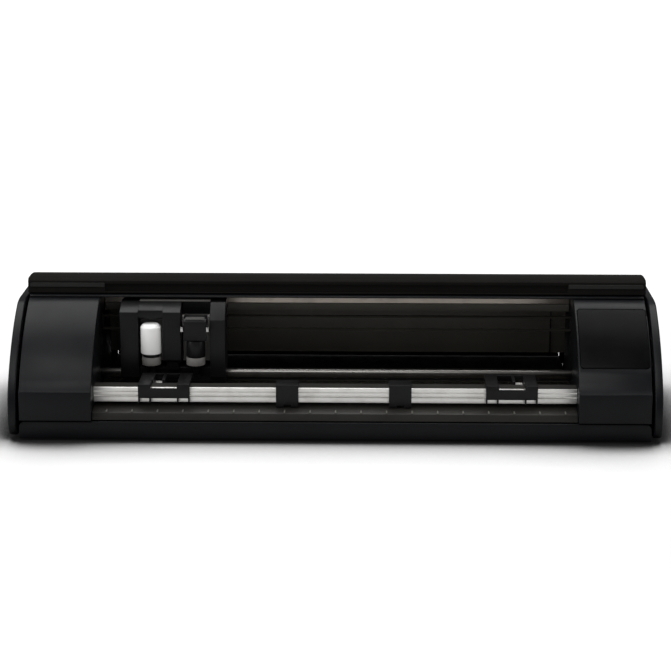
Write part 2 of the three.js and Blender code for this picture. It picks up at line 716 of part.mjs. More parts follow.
// A saddle that hangs on the bar and reaches back over the drive roller with two arms.
// Its window leaves the bar's top edge and the pinch roller open between the arms.
function holderBody(x, rollerX) {
  const front = BAR_FRONT - GAP;
  const back = BAR_FRONT + BAR_DEPTH + GAP;
  const under = BAR_BOTTOM + BAR_HEIGHT + GAP;
  const top = under + HOLDER_WALL;
  const left = x - HOLDER_WIDTH / 2;
  const right = x + HOLDER_WIDTH / 2;
  const armBottom = pinchHeight() - 2;
  const faceBottom = BAR_BOTTOM + HOLDER_FACE_RISE;
  const parts = [
    box([left, right], [front - HOLDER_WALL, front], [faceBottom, BAR_BOTTOM + BAR_HEIGHT - 1]),
    box([left, right], [HOLDER_BACK - HOLDER_WALL - 1, HOLDER_BACK], [under - HOLDER_WALL, top]),
  ];
  for (const edge of [left, right - HOLDER_ARM]) {
    const arm = [edge, edge + HOLDER_ARM];
    parts.push(box(arm, [front - HOLDER_WALL, front], [faceBottom, top]));
    parts.push(box(arm, [front - HOLDER_WALL, HOLDER_BACK], [under, top]));
    parts.push(box(arm, [back, back + HOLDER_WALL], [under - 8, top]));
    for (const leg of [edge, edge + HOLDER_ARM - LEG_WIDTH]) {
      parts.push(box([leg, leg + LEG_WIDTH], [front - HOLDER_WALL, front], [BAR_BOTTOM, faceBottom + 1]));
    }
  }
  const lug = PINCH_WIDTH / 2 + GAP;
  for (const inner of [rollerX - lug - HOLDER_WALL, rollerX + lug]) {
    parts.push(box([inner, inner + HOLDER_WALL], [back, HOLDER_BACK], [armBottom, top]));
  }
  const axleHole = rodAlongX(
    PINCH_AXLE + GAP,
    [rollerX - lug - HOLDER_WALL, rollerX + lug + HOLDER_WALL],
    ROLLER_DEPTH,
    pinchHeight(),
    12,
  );
  return cut(join(...parts), axleHole);
}

function pinchRoller(x) {
  const reach = PINCH_WIDTH / 2 + GAP + HOLDER_WALL - 0.2;
  return join(
    rodAlongX(PINCH_RADIUS, [x - PINCH_WIDTH / 2, x + PINCH_WIDTH / 2], ROLLER_DEPTH, pinchHeight()),
    rodAlongX(PINCH_AXLE, [x - reach, x + reach], ROLLER_DEPTH, pinchHeight(), 12),
  );
}

function clipBody(x) {
  const front = BAR_FRONT - GAP;
  const back = BAR_FRONT + BAR_DEPTH + GAP;
  const under = BAR_BOTTOM + BAR_HEIGHT + GAP;
  const width = [x - CLIP_WIDTH / 2, x + CLIP_WIDTH / 2];
  const notch = [x - CLIP_WIDTH / 6, x + CLIP_WIDTH / 6];
  return cut(
    join(
      box(width, [front - HOLDER_WALL, front], [CLIP_BOTTOM, under + HOLDER_WALL]),
      box(width, [front - HOLDER_WALL, back + 2], [under, under + HOLDER_WALL]),
      box(width, [back, back + 2], [under - 7, under + HOLDER_WALL]),
    ),
    box(notch, [front - HOLDER_WALL - 1, front + 0.1], [CLIP_BOTTOM - 1, CLIP_BOTTOM + 2]),
  );
}

function buildBarFittings() {
  addPiece("roller_holder_left", holderBody(HOLDER_LEFT_X, PINCH_LEFT_X), "satin");
  addPiece("roller_holder_right", holderBody(HOLDER_RIGHT_X, PINCH_RIGHT_X), "satin");
  addPiece("pinch_roller_left", pinchRoller(PINCH_LEFT_X), "grey");
  addPiece("pinch_roller_right", pinchRoller(PINCH_RIGHT_X), "grey");
  addPiece("bar_clip_left", clipBody(CLIP_LEFT_X), "satin");
  addPiece("bar_clip_right", clipBody(CLIP_RIGHT_X), "satin");
}

// ---- Guides and carriage ----

function buildGuides() {
  addPiece("guide_rod", rodAlongX(ROD_RADIUS, [-CHEEK - 3, CHEEK + 3], ROD_DEPTH, ROD_HEIGHT), "steel");
  const railTop = RAIL_BOTTOM + RAIL_HEIGHT;
  const railBack = RAIL_FRONT + RAIL_DEPTH;
  const rail = [
    [RAIL_FRONT, RAIL_BOTTOM],
    [RAIL_FRONT, railTop - 1],
    [RAIL_FRONT + 1, railTop],
    [railBack, railTop],
    [railBack, railTop - 3],
    [RAIL_FRONT + 4, railTop - 3],
    [RAIL_FRONT + 4, RAIL_BOTTOM + 3],
    [railBack, RAIL_BOTTOM + 3],
    [railBack, RAIL_BOTTOM],
  ];
  addPiece("upper_rail", sidePrism(rail, [-SPAN, SPAN]), "aluminium");
  const wallTop = HOUSING_TOP - TOP_DROP;
  const wall = box([-SPAN, SPAN], [BACK_WALL_DEPTH, BACK_WALL_DEPTH + WALL], [BACK_WALL_BOTTOM, wallTop]);
  addPiece("inner_back_wall", wall, "gloss");
}

// A fairing of the carriage: an upright front with a top that slopes back to the rail.
function fairing(x0, x1, bottom, top, front = CARRIAGE_FRONT) {
  const outline = [
    [front, bottom + 2],
    [front, top],
    [CARRIAGE_FRONT + BEVEL_DEPTH, CARRIAGE_TOP],
    [CARRIAGE_BACK, CARRIAGE_TOP],
    [CARRIAGE_BACK, bottom],
    [front + 2, bottom],
  ];
  return sidePrism(outline, [x0, x1]);
}

function buildCarriage() {
  const firstBayLeft = CARRIAGE_LEFT + LEFT_PILLAR;
  const middleLeft = firstBayLeft + FIRST_BAY;
  const middleRight = middleLeft + MIDDLE_PILLAR;
  const secondBayRight = middleRight + SECOND_BAY;
  const whole = [CARRIAGE_LEFT, CARRIAGE_RIGHT];
  const sleeve = ROD_RADIUS + SLEEVE_WALL;
  const plateFront = CARRIAGE_BACK - CARRIAGE_PLATE;
  const beltRun = BELT_HEIGHT + PULLEY_RADIUS;
  const parts = [
    fairing(CARRIAGE_LEFT, firstBayLeft, PILLAR_BOTTOM, PILLAR_TOP),
    fairing(firstBayLeft - 1, middleLeft + 1, LIFT_TOP + GAP, PILLAR_TOP + 1, TOOL_DEPTH),
    fairing(middleLeft, middleRight, MIDDLE_BOTTOM, PILLAR_TOP),
    fairing(secondBayRight, CARRIAGE_RIGHT, PILLAR_BOTTOM, RIGHT_PILLAR_TOP),
    box(
      [middleLeft + TAB_INSET, middleRight - TAB_INSET],
      [CARRIAGE_FRONT + TAB_INSET, plateFront + 1],
      [TAB_BOTTOM, MIDDLE_BOTTOM + 1],
    ),
    box(whole, [plateFront, CARRIAGE_BACK], [ROD_HEIGHT - sleeve, CARRIAGE_TOP]),
    box(whole, [ROD_DEPTH - sleeve, plateFront + 1], [ROD_HEIGHT - sleeve, ROD_HEIGHT + sleeve]),
    box(whole, [CARRIAGE_BACK - 1, RAIL_FRONT - GAP], [RAIL_BOTTOM + 4, CARRIAGE_TOP - 1]),
    box(
      [FIRST_TOOL_X, SECOND_TOOL_X],
      [CARRIAGE_BACK - 1, BELT_DEPTH - BELT_WIDTH / 2 - GAP],
      [beltRun - 3, beltRun + 3],
    ),
  ];
  const bore = rodAlongX(ROD_RADIUS + GAP, [CARRIAGE_LEFT - 1, CARRIAGE_RIGHT + 1], ROD_DEPTH, ROD_HEIGHT);
  addPiece("carriage_frame", cut(join(...parts), bore), "satin");
  const plate = box(
    [firstBayLeft + GAP, secondBayRight - GAP],
    [CARRIAGE_FRONT + BEVEL_DEPTH, CARRIAGE_BACK],
    [CARRIAGE_TOP + GAP, CARRIAGE_TOP + GAP + TOP_PLATE_WALL],
  );
  addPiece("carriage_top_plate", plate, "grey");
}

// The lowest level of a lift, which keeps its travel above the sleeve on the guide rod.
const LIFT_BOTTOM = ROD_HEIGHT + ROD_RADIUS + SLEEVE_WALL + LIFT_TRAVEL + GAP;
const RING_TOP = RING_BOTTOM + RING_HEIGHT;
const LIFT_FRONT = CARRIAGE_FRONT + BEVEL_DEPTH;

// A block that slides up and down in its bay and holds a tool in a ring.
function liftBody(x, bay) {
  const half = bay / 2 - 2 * GAP;
  const back = CARRIAGE_BACK - CARRIAGE_PLATE - GAP;
  const ring = TOOL_RADIUS + RING_WALL;
  return cut(
    join(
      box([x - half, x + half], [LIFT_FRONT, back], [LIFT_BOTTOM, LIFT_TOP]),
      box([x - TOOL_RADIUS, x + TOOL_RADIUS], [TOOL_DEPTH, LIFT_FRONT + 1], [LIFT_BOTTOM, RING_TOP]),
      rodAlongZ(ring, x, TOOL_DEPTH, [LIFT_BOTTOM, RING_TOP]),
    ),
    rodAlongZ(TOOL_RADIUS + GAP, x, TOOL_DEPTH, [LIFT_BOTTOM - 1, RING_TOP + 1]),
  );
}

// The turned body of a tool: a nozzle, a shank in the ring of its lift and a collar on top of the ring.
function toolBody(x, tip, collarRadius, top) {
  const profile = [
    [0, tip],
    [NOZZLE_RADIUS / 2, tip],
    [NOZZLE_RADIUS, tip + 6],
    [NOZZLE_RADIUS, LIFT_BOTTOM],
    [TOOL_RADIUS, RING_BOTTOM],
    [TOOL_RADIUS, RING_TOP + GAP],
    [collarRadius, RING_TOP + GAP],
    [collarRadius, top],
    [0, top],
  ];
  return turned(profile, x, TOOL_DEPTH);
}

// What is behind this plane is cut away, so a cap or sleeve keeps clear of its lift.
function behindTool(x) {
  return box([x - 20, x + 20], [LIFT_FRONT - 4, LIFT_FRONT + 20], [RING_TOP, LIFT_TOP]);
}

function buildFirstTool() {
  addPiece("first_tool_lift", liftBody(FIRST_TOOL_X, FIRST_BAY), "satin");
  const body = toolBody(FIRST_TOOL_X, TOOL_TIP, TOOL_CAP_RADIUS - 2, TOOL_CAP_BOTTOM - GAP);
  const bladeBottom = TOOL_TIP - 1;
  const bladeTop = TOOL_TIP + 11;
  const bore = rodAlongZ(BLADE_RADIUS + GAP, FIRST_TOOL_X, TOOL_DEPTH, [bladeBottom, bladeTop + GAP], 12);
  addPiece("first_tool_body", cut(body, bore), "brass");
  const blade = rodAlongZ(BLADE_RADIUS, FIRST_TOOL_X, TOOL_DEPTH, [bladeBottom, bladeTop], 12);
  addPiece("first_tool_blade", blade, "steel");
  const profile = [
    [0, TOOL_CAP_BOTTOM],
    [TOOL_CAP_RADIUS, TOOL_CAP_BOTTOM],
    [TOOL_CAP_RADIUS, TOOL_CAP_TOP - 3],
    [TOOL_CAP_RADIUS - 3, TOOL_CAP_TOP],
    [0, TOOL_CAP_TOP],
  ];
  const cap = turned(profile, FIRST_TOOL_X, TOOL_DEPTH, 32);
  addPiece("first_tool_cap", cut(cap, behindTool(FIRST_TOOL_X)), "white");
}

function buildSecondTool() {
  const half = SECOND_BAY / 2 - 2 * GAP;
  const pinReach = [SECOND_TOOL_X - half, SECOND_TOOL_X + half];
  const pinHole = rodAlongX(
    LEVER_PIN + GAP,
    [pinReach[0] - 1, pinReach[1] + 1],
    LEVER_PIN_DEPTH,
    LEVER_PIN_HEIGHT,
    12,
  );
  const lugs = [pinReach[0], pinReach[1] - LUG_WIDTH].map((x) =>
    box(
      [x, x + LUG_WIDTH],
      [LEVER_PIN_DEPTH - LEVER_KNUCKLE, LIFT_FRONT + 1],
      [LEVER_PIN_HEIGHT - 2 * LEVER_KNUCKLE, LEVER_PIN_HEIGHT + LEVER_KNUCKLE],
    ),
  );
  addPiece("second_tool_lift", cut(join(liftBody(SECOND_TOOL_X, SECOND_BAY), ...lugs), pinHole), "satin");
  addPiece("lever_pin", rodAlongX(LEVER_PIN, pinReach, LEVER_PIN_DEPTH, LEVER_PIN_HEIGHT, 12), "steel");

  const sleeve = toolBody(SECOND_TOOL_X, TOOL_TIP + 8, TOOL_CAP_RADIUS - 1, LEVER_BOTTOM - 1);
  addPiece("second_tool_sleeve", cut(sleeve, behindTool(SECOND_TOOL_X)), "satin");

  const front = TOOL_DEPTH - 9;
  const knuckle = Array.from({ length: 7 }, (_, i) => {
    const angle = Math.PI / 2 - (Math.PI * i) / 6;
    return [
      LEVER_PIN_DEPTH + LEVER_KNUCKLE * Math.cos(angle),
      LEVER_PIN_HEIGHT + LEVER_KNUCKLE * Math.sin(angle),
    ];
  });
  const outline = [
    [front, LEVER_BOTTOM],
    [front, LEVER_PIN_HEIGHT + 1],
    [front + 3, LEVER_PIN_HEIGHT + LEVER_KNUCKLE],
    ...knuckle,
    [front + 6, LEVER_PIN_HEIGHT - LEVER_KNUCKLE],
    [front + 4.5, LEVER_BOTTOM],
  ];
  const leverReach = [pinReach[0] + LUG_WIDTH + GAP, pinReach[1] - LUG_WIDTH - GAP];
  addPiece("lock_lever", cut(sidePrism(outline, leverReach), pinHole), "satin");
}

// ---- Belt drive ----

function beltOutline(radius) {
  const outline = new THREE.Shape();
  outline.absarc(PULLEY_X, 0, radius, -Math.PI / 2, Math.PI / 2, false);
  outline.absarc(-PULLEY_X, 0, radius, Math.PI / 2, (3 * Math.PI) / 2, false);
  return outline;
}

function buildBeltDrive() {
  const inner = PULLEY_RADIUS + GAP;
  const outline = beltOutline(inner + BELT_THICKNESS);
  outline.holes.push(beltOutline(inner));
  const geometry = new THREE.ExtrudeGeometry(outline, {
    depth: BELT_WIDTH,
    bevelEnabled: false,
    curveSegments: 10,
  });
  geometry.rotateX(Math.PI / 2);
  geometry.translate(0, BELT_DEPTH + BELT_WIDTH / 2, BELT_HEIGHT);
  addPiece("carriage_belt", solid(geometry), "rubber");

  const flange = BELT_WIDTH / 2 + 0.5;
  const mountFront = HOUSING_BACK - WALL - GAP - BELT_MOTOR;
  for (const [ending, side] of SIDES) {
    const x = side * PULLEY_X;
    const pulley = join(
      rodAlongY(PULLEY_RADIUS, x, [BELT_DEPTH - flange, BELT_DEPTH + flange], BELT_HEIGHT),
      rodAlongY(PULLEY_RADIUS + 2, x, [BELT_DEPTH - flange - 1, BELT_DEPTH - flange], BELT_HEIGHT),
      rodAlongY(PULLEY_RADIUS + 2, x, [BELT_DEPTH + flange, BELT_DEPTH + flange + 1], BELT_HEIGHT),
      rodAlongY(PULLEY_SHAFT, x, [BELT_DEPTH, mountFront + 8], BELT_HEIGHT, 12),
    );
    addPiece(side < 0 ? "drive_pulley" : "idler_pulley", pulley, "steel");
    const half = side < 0 ? BELT_MOTOR / 2 : PULLEY_RADIUS + 2;
    const mount = cut(
      box(
        [x - half, x + half],
        [mountFront, HOUSING_BACK - WALL - GAP],
        [BELT_HEIGHT - half, BELT_HEIGHT + half],
      ),
      rodAlongY(PULLEY_SHAFT + GAP, x, [mountFront - 1, mountFront + 9], BELT_HEIGHT, 12),
    );
    addPiece(side < 0 ? "carriage_motor" : "idler_bracket", mount, side < 0 ? "steel" : "satin");
  }
}

// ---- Roll drawer ----

// The front of the drawer: a long plate with rounded top corners.
function drawerFace(half, back) {
  const outline = new THREE.Shape();
  outline.moveTo(-half, DRAWER_BOTTOM);
  outline.lineTo(half, DRAWER_BOTTOM);
  const centreX = half - DRAWER_CORNER;
  const centreZ = DRAWER_TOP - DRAWER_CORNER;
  outline.absarc(centreX, centreZ, DRAWER_CORNER, 0, Math.PI / 2, false);
  outline.absarc(-centreX, centreZ, DRAWER_CORNER, Math.PI / 2, Math.PI, false);
  const geometry = new THREE.ExtrudeGeometry(outline, {
    depth: DRAWER_FACE,
    bevelEnabled: false,
    curveSegments: 6,
  });
  geometry.rotateX(Math.PI / 2);
  geometry.translate(0, back, 0);
  return solid(geometry);
}

function buildDrawer() {
  const faceBack = DRAWER_FRONT + DRAWER_FACE;
  const faceHalf = HOUSING_OUTER + 0.7;
  const wallTop = MEDIA_HEIGHT - 2 * ROLLER_RADIUS - DRAWER_ROOM;
  const parts = [
    drawerFace(faceHalf, faceBack),
    box([-DRAWER_HALF, DRAWER_HALF], [faceBack - 1, DRAWER_BACK], [FLOOR, FLOOR + 2]),
    box([-DRAWER_HALF, DRAWER_HALF], [DRAWER_BACK - WALL, DRAWER_BACK], [FLOOR + 1, wallTop]),
  ];
  const holes = [];
  for (const [, side] of SIDES) {
    const wall = across(side, DRAWER_HALF - WALL, DRAWER_HALF);
    parts.push(box(wall, [faceBack - 1, DRAWER_BACK], [FLOOR + 1, wallTop]));
  }
  for (const depth of FEED_ROLLER_DEPTHS) {
    holes.push(
      rodAlongX(FEED_ROLLER_AXLE + GAP, [-DRAWER_HALF - 1, DRAWER_HALF + 1], depth, FEED_ROLLER_HEIGHT, 12),
    );
  }
  addPiece("roll_drawer", cut(join(...parts), ...holes), "gloss");
  const reach = DRAWER_HALF - WALL - GAP;
  FEED_ROLLER_DEPTHS.forEach((depth, i) => {
    const roller = join(
      rodAlongX(FEED_ROLLER_RADIUS, [-reach, reach], depth, FEED_ROLLER_HEIGHT, 16),
      rodAlongX(FEED_ROLLER_AXLE, [-DRAWER_HALF + 0.2, DRAWER_HALF - 0.2], depth, FEED_ROLLER_HEIGHT, 12),
    );
    addPiece(`roll_support_${i === 0 ? "front" : "rear"}`, roller, "rubber");
  });
}

// ---- Electronics ----

// A block at one of the places for ports in the back wall, counted from the inner one.
function portBlock(place, [width, height], margin, depths) {
  const x = FIRST_PORT_X + place * PORT_PITCH;
  return box(
    [x - width / 2 - margin, x + width / 2 + margin],
    depths,
    [PORT_HEIGHT - height / 2 - margin, PORT_HEIGHT + height / 2 + margin],
  );
}

function buildElectronics() {
  const half = BOARD_WIDTH / 2;
  const board = join(
    box(
      [BOARD_X - half, BOARD_X + half],
      [BOARD_FRONT, BOARD_FRONT + BOARD_DEPTH],
      [BOARD_HEIGHT, BOARD_HEIGHT + BOARD_THICKNESS],
    ),
    box(
      [BOARD_X - CHIP_WIDTH / 2, BOARD_X + CHIP_WIDTH / 2],
      [BOARD_FRONT + CHIP_INSET, BOARD_FRONT + CHIP_INSET + CHIP_DEPTH],
      [BOARD_HEIGHT + 1, BOARD_HEIGHT + BOARD_THICKNESS + CHIP_HEIGHT],
    ),
  );
  addPiece("main_board", board, "board");

  const back = BACK_FACE + 0.5;
  const socket = portBlock(0, INLET_SIZE, 0, [back - PORT_DEPTH, back]);
  const jack = rodAlongY(INLET_SIZE[0] / 3, FIRST_PORT_X, [back - PORT_DEPTH + 2, back + 1], PORT_HEIGHT);
  addPiece("power_inlet", cut(socket, jack), "satin");
  const port = portBlock(1, USB_SIZE, 0, [back - PORT_DEPTH, back]);
  const mouth = portBlock(1, USB_SIZE, -1.5, [back - PORT_DEPTH + 2, back + 1]);
  addPiece("usb_port", cut(port, mouth), "steel");
  const button = portBlock(2, SWITCH_SIZE, 0, [back - PORT_DEPTH / 2, BACK_FACE + BACK_INSET]);
  addPiece("power_button", button, "satin");
}

buildEndCaps();
buildHousings();
buildDisplay();
buildBasePan();
buildFeet();
buildRearCover();
buildTopCover();
buildSlidingCover();
buildTrayAndPlatens();
buildDriveRoller();
buildFeedMotor();
buildPinchBar();
buildBarFittings();
buildGuides();
buildCarriage();
buildFirstTool();
buildSecondTool();
buildBeltDrive();
buildDrawer();
buildElectronics();

const cutter = new THREE.Group();
cutter.add(machine);

export default cutter;
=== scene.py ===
"""A desktop vinyl cutter in a white studio, built on its CAD frame.

Each sub-assembly is a class that shapes its pieces in the row frame, gives them their finishes
and hangs them on the bodies they move with. Sizes are in millimetres unless a name says metres.
"""

import logging
import math
from collections.abc import Callable, Iterable, Sequence
from dataclasses import dataclass, field
from enum import Enum

import bpy
from mathutils import Euler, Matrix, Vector


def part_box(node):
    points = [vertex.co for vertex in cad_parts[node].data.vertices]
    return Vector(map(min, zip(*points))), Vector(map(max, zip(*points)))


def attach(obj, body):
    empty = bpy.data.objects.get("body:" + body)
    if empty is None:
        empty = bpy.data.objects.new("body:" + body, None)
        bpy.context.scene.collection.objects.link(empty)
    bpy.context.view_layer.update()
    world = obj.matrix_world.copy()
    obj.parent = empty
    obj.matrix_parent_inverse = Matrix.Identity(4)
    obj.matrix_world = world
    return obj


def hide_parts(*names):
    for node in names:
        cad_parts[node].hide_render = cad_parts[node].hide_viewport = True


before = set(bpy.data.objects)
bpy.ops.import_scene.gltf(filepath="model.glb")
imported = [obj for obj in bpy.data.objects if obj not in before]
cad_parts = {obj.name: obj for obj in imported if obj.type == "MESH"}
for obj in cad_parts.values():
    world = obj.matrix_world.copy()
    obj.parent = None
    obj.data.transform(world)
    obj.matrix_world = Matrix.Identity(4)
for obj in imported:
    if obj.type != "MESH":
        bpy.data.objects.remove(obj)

log = logging.getLogger("vinyl_cutter")

MM = 0.001

Point = tuple[float, float, float]
Span = tuple[float, float]
FaceTest = Callable[[Vector, Vector], bool]
EdgeTest = Callable[[Vector, Vector], bool]


# ---- Colour and shader nodes ----


def linear(code: str) -> tuple[float, float, float, float]:
    """Turns an sRGB hex colour into linear red, green, blue and alpha.

    Args:
        code: Six hex digits, with or without a leading hash.

    Returns:
        The linear colour with an alpha of one.
    """
    digits = code.lstrip("#")
    channels = [int(digits[i : i + 2], 16) / 255 for i in (0, 2, 4)]
    turned = [c / 12.92 if c <= 0.04045 else ((c + 0.055) / 1.055) ** 2.4 for c in channels]
    return (turned[0], turned[1], turned[2], 1.0)


def add_node(
    tree: bpy.types.NodeTree,
    kind: str,
    links: dict[str | int, object] | None = None,
    **settings: object,
) -> bpy.types.Node:
    """Adds a node, sets its properties and fills its sockets.

    Args:
        tree: The node tree.
        kind: The node's type name without its ShaderNode prefix.
        links: A value or an output socket for each input, by its name or place.
        settings: Properties of the node.

    Returns:
        The new node.
    """
    node = tree.nodes.new("ShaderNode" + kind)
    for name, value in settings.items():
        setattr(node, name, value)
    for name, value in (links or {}).items():
        if isinstance(value, bpy.types.NodeSocket):
            tree.links.new(value, node.inputs[name])
        else:
            node.inputs[name].default_value = value
    return node


def per_metre(millimetres: float) -> float:
    """Gives the texture scale whose cells are this many millimetres wide."""
    return 1000.0 / millimetres


def fresh_material(name: str) -> tuple[bpy.types.Material, bpy.types.NodeTree, bpy.types.Node]:
    """Makes an empty node material.

    Args:
        name: The material's name.

    Returns:
        The material, its node tree and its output node.
    """
    material = bpy.data.materials.new(name)
    material.use_nodes = True
    tree = material.node_tree
    tree.nodes.clear()
    return material, tree, add_node(tree, "OutputMaterial")


def object_place(tree: bpy.types.NodeTree) -> bpy.types.NodeSocket:
    """Adds the object coordinates, in metres of the row frame."""
    return add_node(tree, "TexCoord").outputs["Object"]


def noise(tree: bpy.types.NodeTree, place: object, cell: float, detail: float = 3.0) -> bpy.types.NodeSocket:
    """Adds noise whose blotches are about this many millimetres wide.

    Args:
        tree: The node tree.
        place: The coordinates socket.
        cell: The width of a blotch.
        detail: How many finer layers it has.

    Returns:
        The noise's factor socket.
    """
    links = {"Vector": place, "Scale": per_metre(cell), "Detail": detail, "Roughness": 0.55}
    return add_node(tree, "TexNoise", links).outputs["Fac"]


def ramp(tree: bpy.types.NodeTree, value: object, low: Span, high: Span) -> bpy.types.NodeSocket:
    """Maps a value from one span onto another and holds it at the ends.

    Args:
        tree: The node tree.
        value: The socket to map.
        low: The span it comes from.
        high: The span it goes to.

    Returns:
        The mapped socket.
    """
    links = {0: value, 1: low[0], 2: low[1], 3: high[0], 4: high[1]}
    return add_node(tree, "MapRange", links, clamp=True).outputs[0]


# ---- Finishes ----


@dataclass(frozen=True)
class Finish:
    """A surface finish. Its name is also the material's name."""

    name: str

    def build(self) -> bpy.types.Material:
        """Builds the finish's node material."""
        raise NotImplementedError


@dataclass(frozen=True)
class MouldedPlastic(Finish):
    """Injection-moulded plastic with a fine grain and a faint haze.

    Attributes:
        colour: The pigment.
        haze: A second pigment tone, in large soft patches.
        roughness: The lowest and highest roughness.
        grain: The width of a grain, in millimetres.
        depth: How far the grain stands up, in millimetres.
        shine: The strength of the reflection at right angles.
        coat: A thin clear skin over the plastic.
    """

    colour: str
    haze: str
    roughness: Span
    grain: float = 0.6
    depth: float = 0.01
    shine: float = 0.4
    coat: float = 0.0

    def build(self) -> bpy.types.Material:
        """Builds the plastic's node material."""
        material, tree, output = fresh_material(self.name)
        place = object_place(tree)
        # Large, faint patches keep wide panels from looking like one flat tone.
        patches = noise(tree, place, 70.0)
        pigment = add_node(
            tree,
            "Mix",
            {0: ramp(tree, patches, (0.35, 0.65), (0.0, 1.0)), 6: linear(self.colour), 7: linear(self.haze)},
            data_type="RGBA",
        ).outputs[2]
        # Handling marks, a thumb's width across, break up the reflection.
        rub = ramp(tree, noise(tree, place, 24.0, 4.0), (0.3, 0.7), self.roughness)
        # The etched grain of the mould.
        grain = noise(tree, place, self.grain, 2.0)
        bump = add_node(tree, "Bump", {"Height": grain, "Distance": self.depth * MM, "Strength": 0.6})
        shader = add_node(
            tree,
            "BsdfPrincipled",
            {
                "Base Color": pigment,
                "Roughness": rub,
                "Normal": bump.outputs[0],
                "Specular IOR Level": self.shine,
                "Coat Weight": self.coat,
                "Coat Roughness": 0.12,
            },
        )
        tree.links.new(shader.outputs[0], output.inputs[0])
        return material


@dataclass(frozen=True)
class DarkGlass(Finish):
    """A smoked cover glass with faint wipe marks.

    Attributes:
        colour: The tone behind the glass.
        roughness: The lowest and highest roughness.
    """

    colour: str
    roughness: Span

    def build(self) -> bpy.types.Material:
        """Builds the glass's node material."""
        material, tree, output = fresh_material(self.name)
        place = object_place(tree)
        # Wipe marks run along the glass and are long and thin.
        stretched = add_node(tree, "Mapping", {0: place, 3: (0.25, 1.0, 1.0)}).outputs[0]
        wipe = ramp(tree, noise(tree, stretched, 9.0, 5.0), (0.4, 0.7), self.roughness)
        # The lit layer under the glass is a little uneven.
        depth = ramp(tree, noise(tree, place, 30.0), (0.3, 0.7), (0.7, 1.2))
        tone = add_node(
            tree, "Mix", {0: 1.0, 6: linear(self.colour), 7: depth}, data_type="RGBA", blend_type="MULTIPLY"
        ).outputs[2]
        shader = add_node(
            tree,
            "BsdfPrincipled",
            {"Base Color": tone, "Roughness": wipe, "Specular IOR Level": 0.035},
        )
        tree.links.new(shader.outputs[0], output.inputs[0])
        return material


class Grain(Enum):
    """The axis that a metal's tool marks run along."""

    ALONG_X = (0.02, 1.0, 1.0)
    ALONG_Y = (1.0, 0.02, 1.0)
    ALONG_Z = (1.0, 1.0, 0.02)
    NONE = (1.0, 1.0, 1.0)


@dataclass(frozen=True)
class Metal(Finish):
    """A metal with tool marks, slight tarnish and small dull spots.

    Attributes:
        colour: The clean metal.
        tarnish: The metal where it has dulled.
        roughness: The lowest and highest roughness.
        grain: The axis of the tool marks.
        mark: The width of one tool mark, in millimetres.
        depth: How deep a mark is, in millimetres.
        anisotropy: How far the highlight is drawn out.
    """

    colour: str
    tarnish: str
    roughness: Span
    grain: Grain = Grain.ALONG_X
    mark: float = 0.25
    depth: float = 0.006
    anisotropy: float = 0.0

    def build(self) -> bpy.types.Material:
        """Builds the metal's node material."""
        material, tree, output = fresh_material(self.name)
        place = object_place(tree)
        stretched = add_node(tree, "Mapping", {0: place, 3: self.grain.value}).outputs[0]
        # Fine parallel scratches from drawing, turning or brushing.
        marks = noise(tree, stretched, self.mark, 4.0)
        # Soft patches of tarnish, a finger's width across.
        dull = ramp(tree, noise(tree, place, 18.0), (0.45, 0.7), (0.0, 1.0))
        tone = add_node(
            tree, "Mix", {0: dull, 6: linear(self.colour), 7: linear(self.tarnish)}, data_type="RGBA"
        ).outputs[2]
        rough = ramp(tree, marks, (0.3, 0.7), self.roughness)
        bump = add_node(tree, "Bump", {"Height": marks, "Distance": self.depth * MM, "Strength": 0.5})
        shader = add_node(
            tree,
            "BsdfPrincipled",
            {
                "Base Color": tone,
                "Metallic": 1.0,
                "Roughness": rough,
                "Anisotropic": self.anisotropy,
                "Normal": bump.outputs[0],
            },
        )
        tree.links.new(shader.outputs[0], output.inputs[0])
        return material


@dataclass(frozen=True)
class GrittedSteel(Finish):
    """A feed shaft with sand-blasted grip bands between polished lengths.

    Attributes:
        colour: The polished steel.
        grit: The blasted bands.
        pitch: The distance from one band to the next, in millimetres.
    """

    colour: str
    grit: str
    pitch: float

    def build(self) -> bpy.types.Material:
        """Builds the shaft's node material."""
        material, tree, output = fresh_material(self.name)
        place = object_place(tree)
        along = add_node(tree, "SeparateXYZ", {0: place}).outputs[0]
        # A band repeats along the shaft and fills a third of each pitch.
        cycle = add_node(tree, "Math", {0: along, 1: self.pitch * MM}, operation="FLOORED_MODULO").outputs[0]
        share = add_node(tree, "Math", {0: cycle, 1: self.pitch * MM}, operation="DIVIDE").outputs[0]
        band = ramp(tree, share, (0.62, 0.66), (0.0, 1.0))
        # The blasted bands are rough to the touch.
        sand = noise(tree, place, 0.5, 2.0)
        height = add_node(tree, "Math", {0: sand, 1: band}, operation="MULTIPLY").outputs[0]
        bump = add_node(tree, "Bump", {"Height": height, "Distance": 0.08 * MM, "Strength": 0.8})
        tone = add_node(
            tree, "Mix", {0: band, 6: linear(self.colour), 7: linear(self.grit)}, data_type="RGBA"
        ).outputs[2]
        shader = add_node(
            tree,
            "BsdfPrincipled",
            {
                "Base Color": tone,
                "Metallic": 1.0,
                "Roughness": ramp(tree, band, (0.0, 1.0), (0.28, 0.6)),
                "Normal": bump.outputs[0],
            },
        )
        tree.links.new(shader.outputs[0], output.inputs[0])
        return material


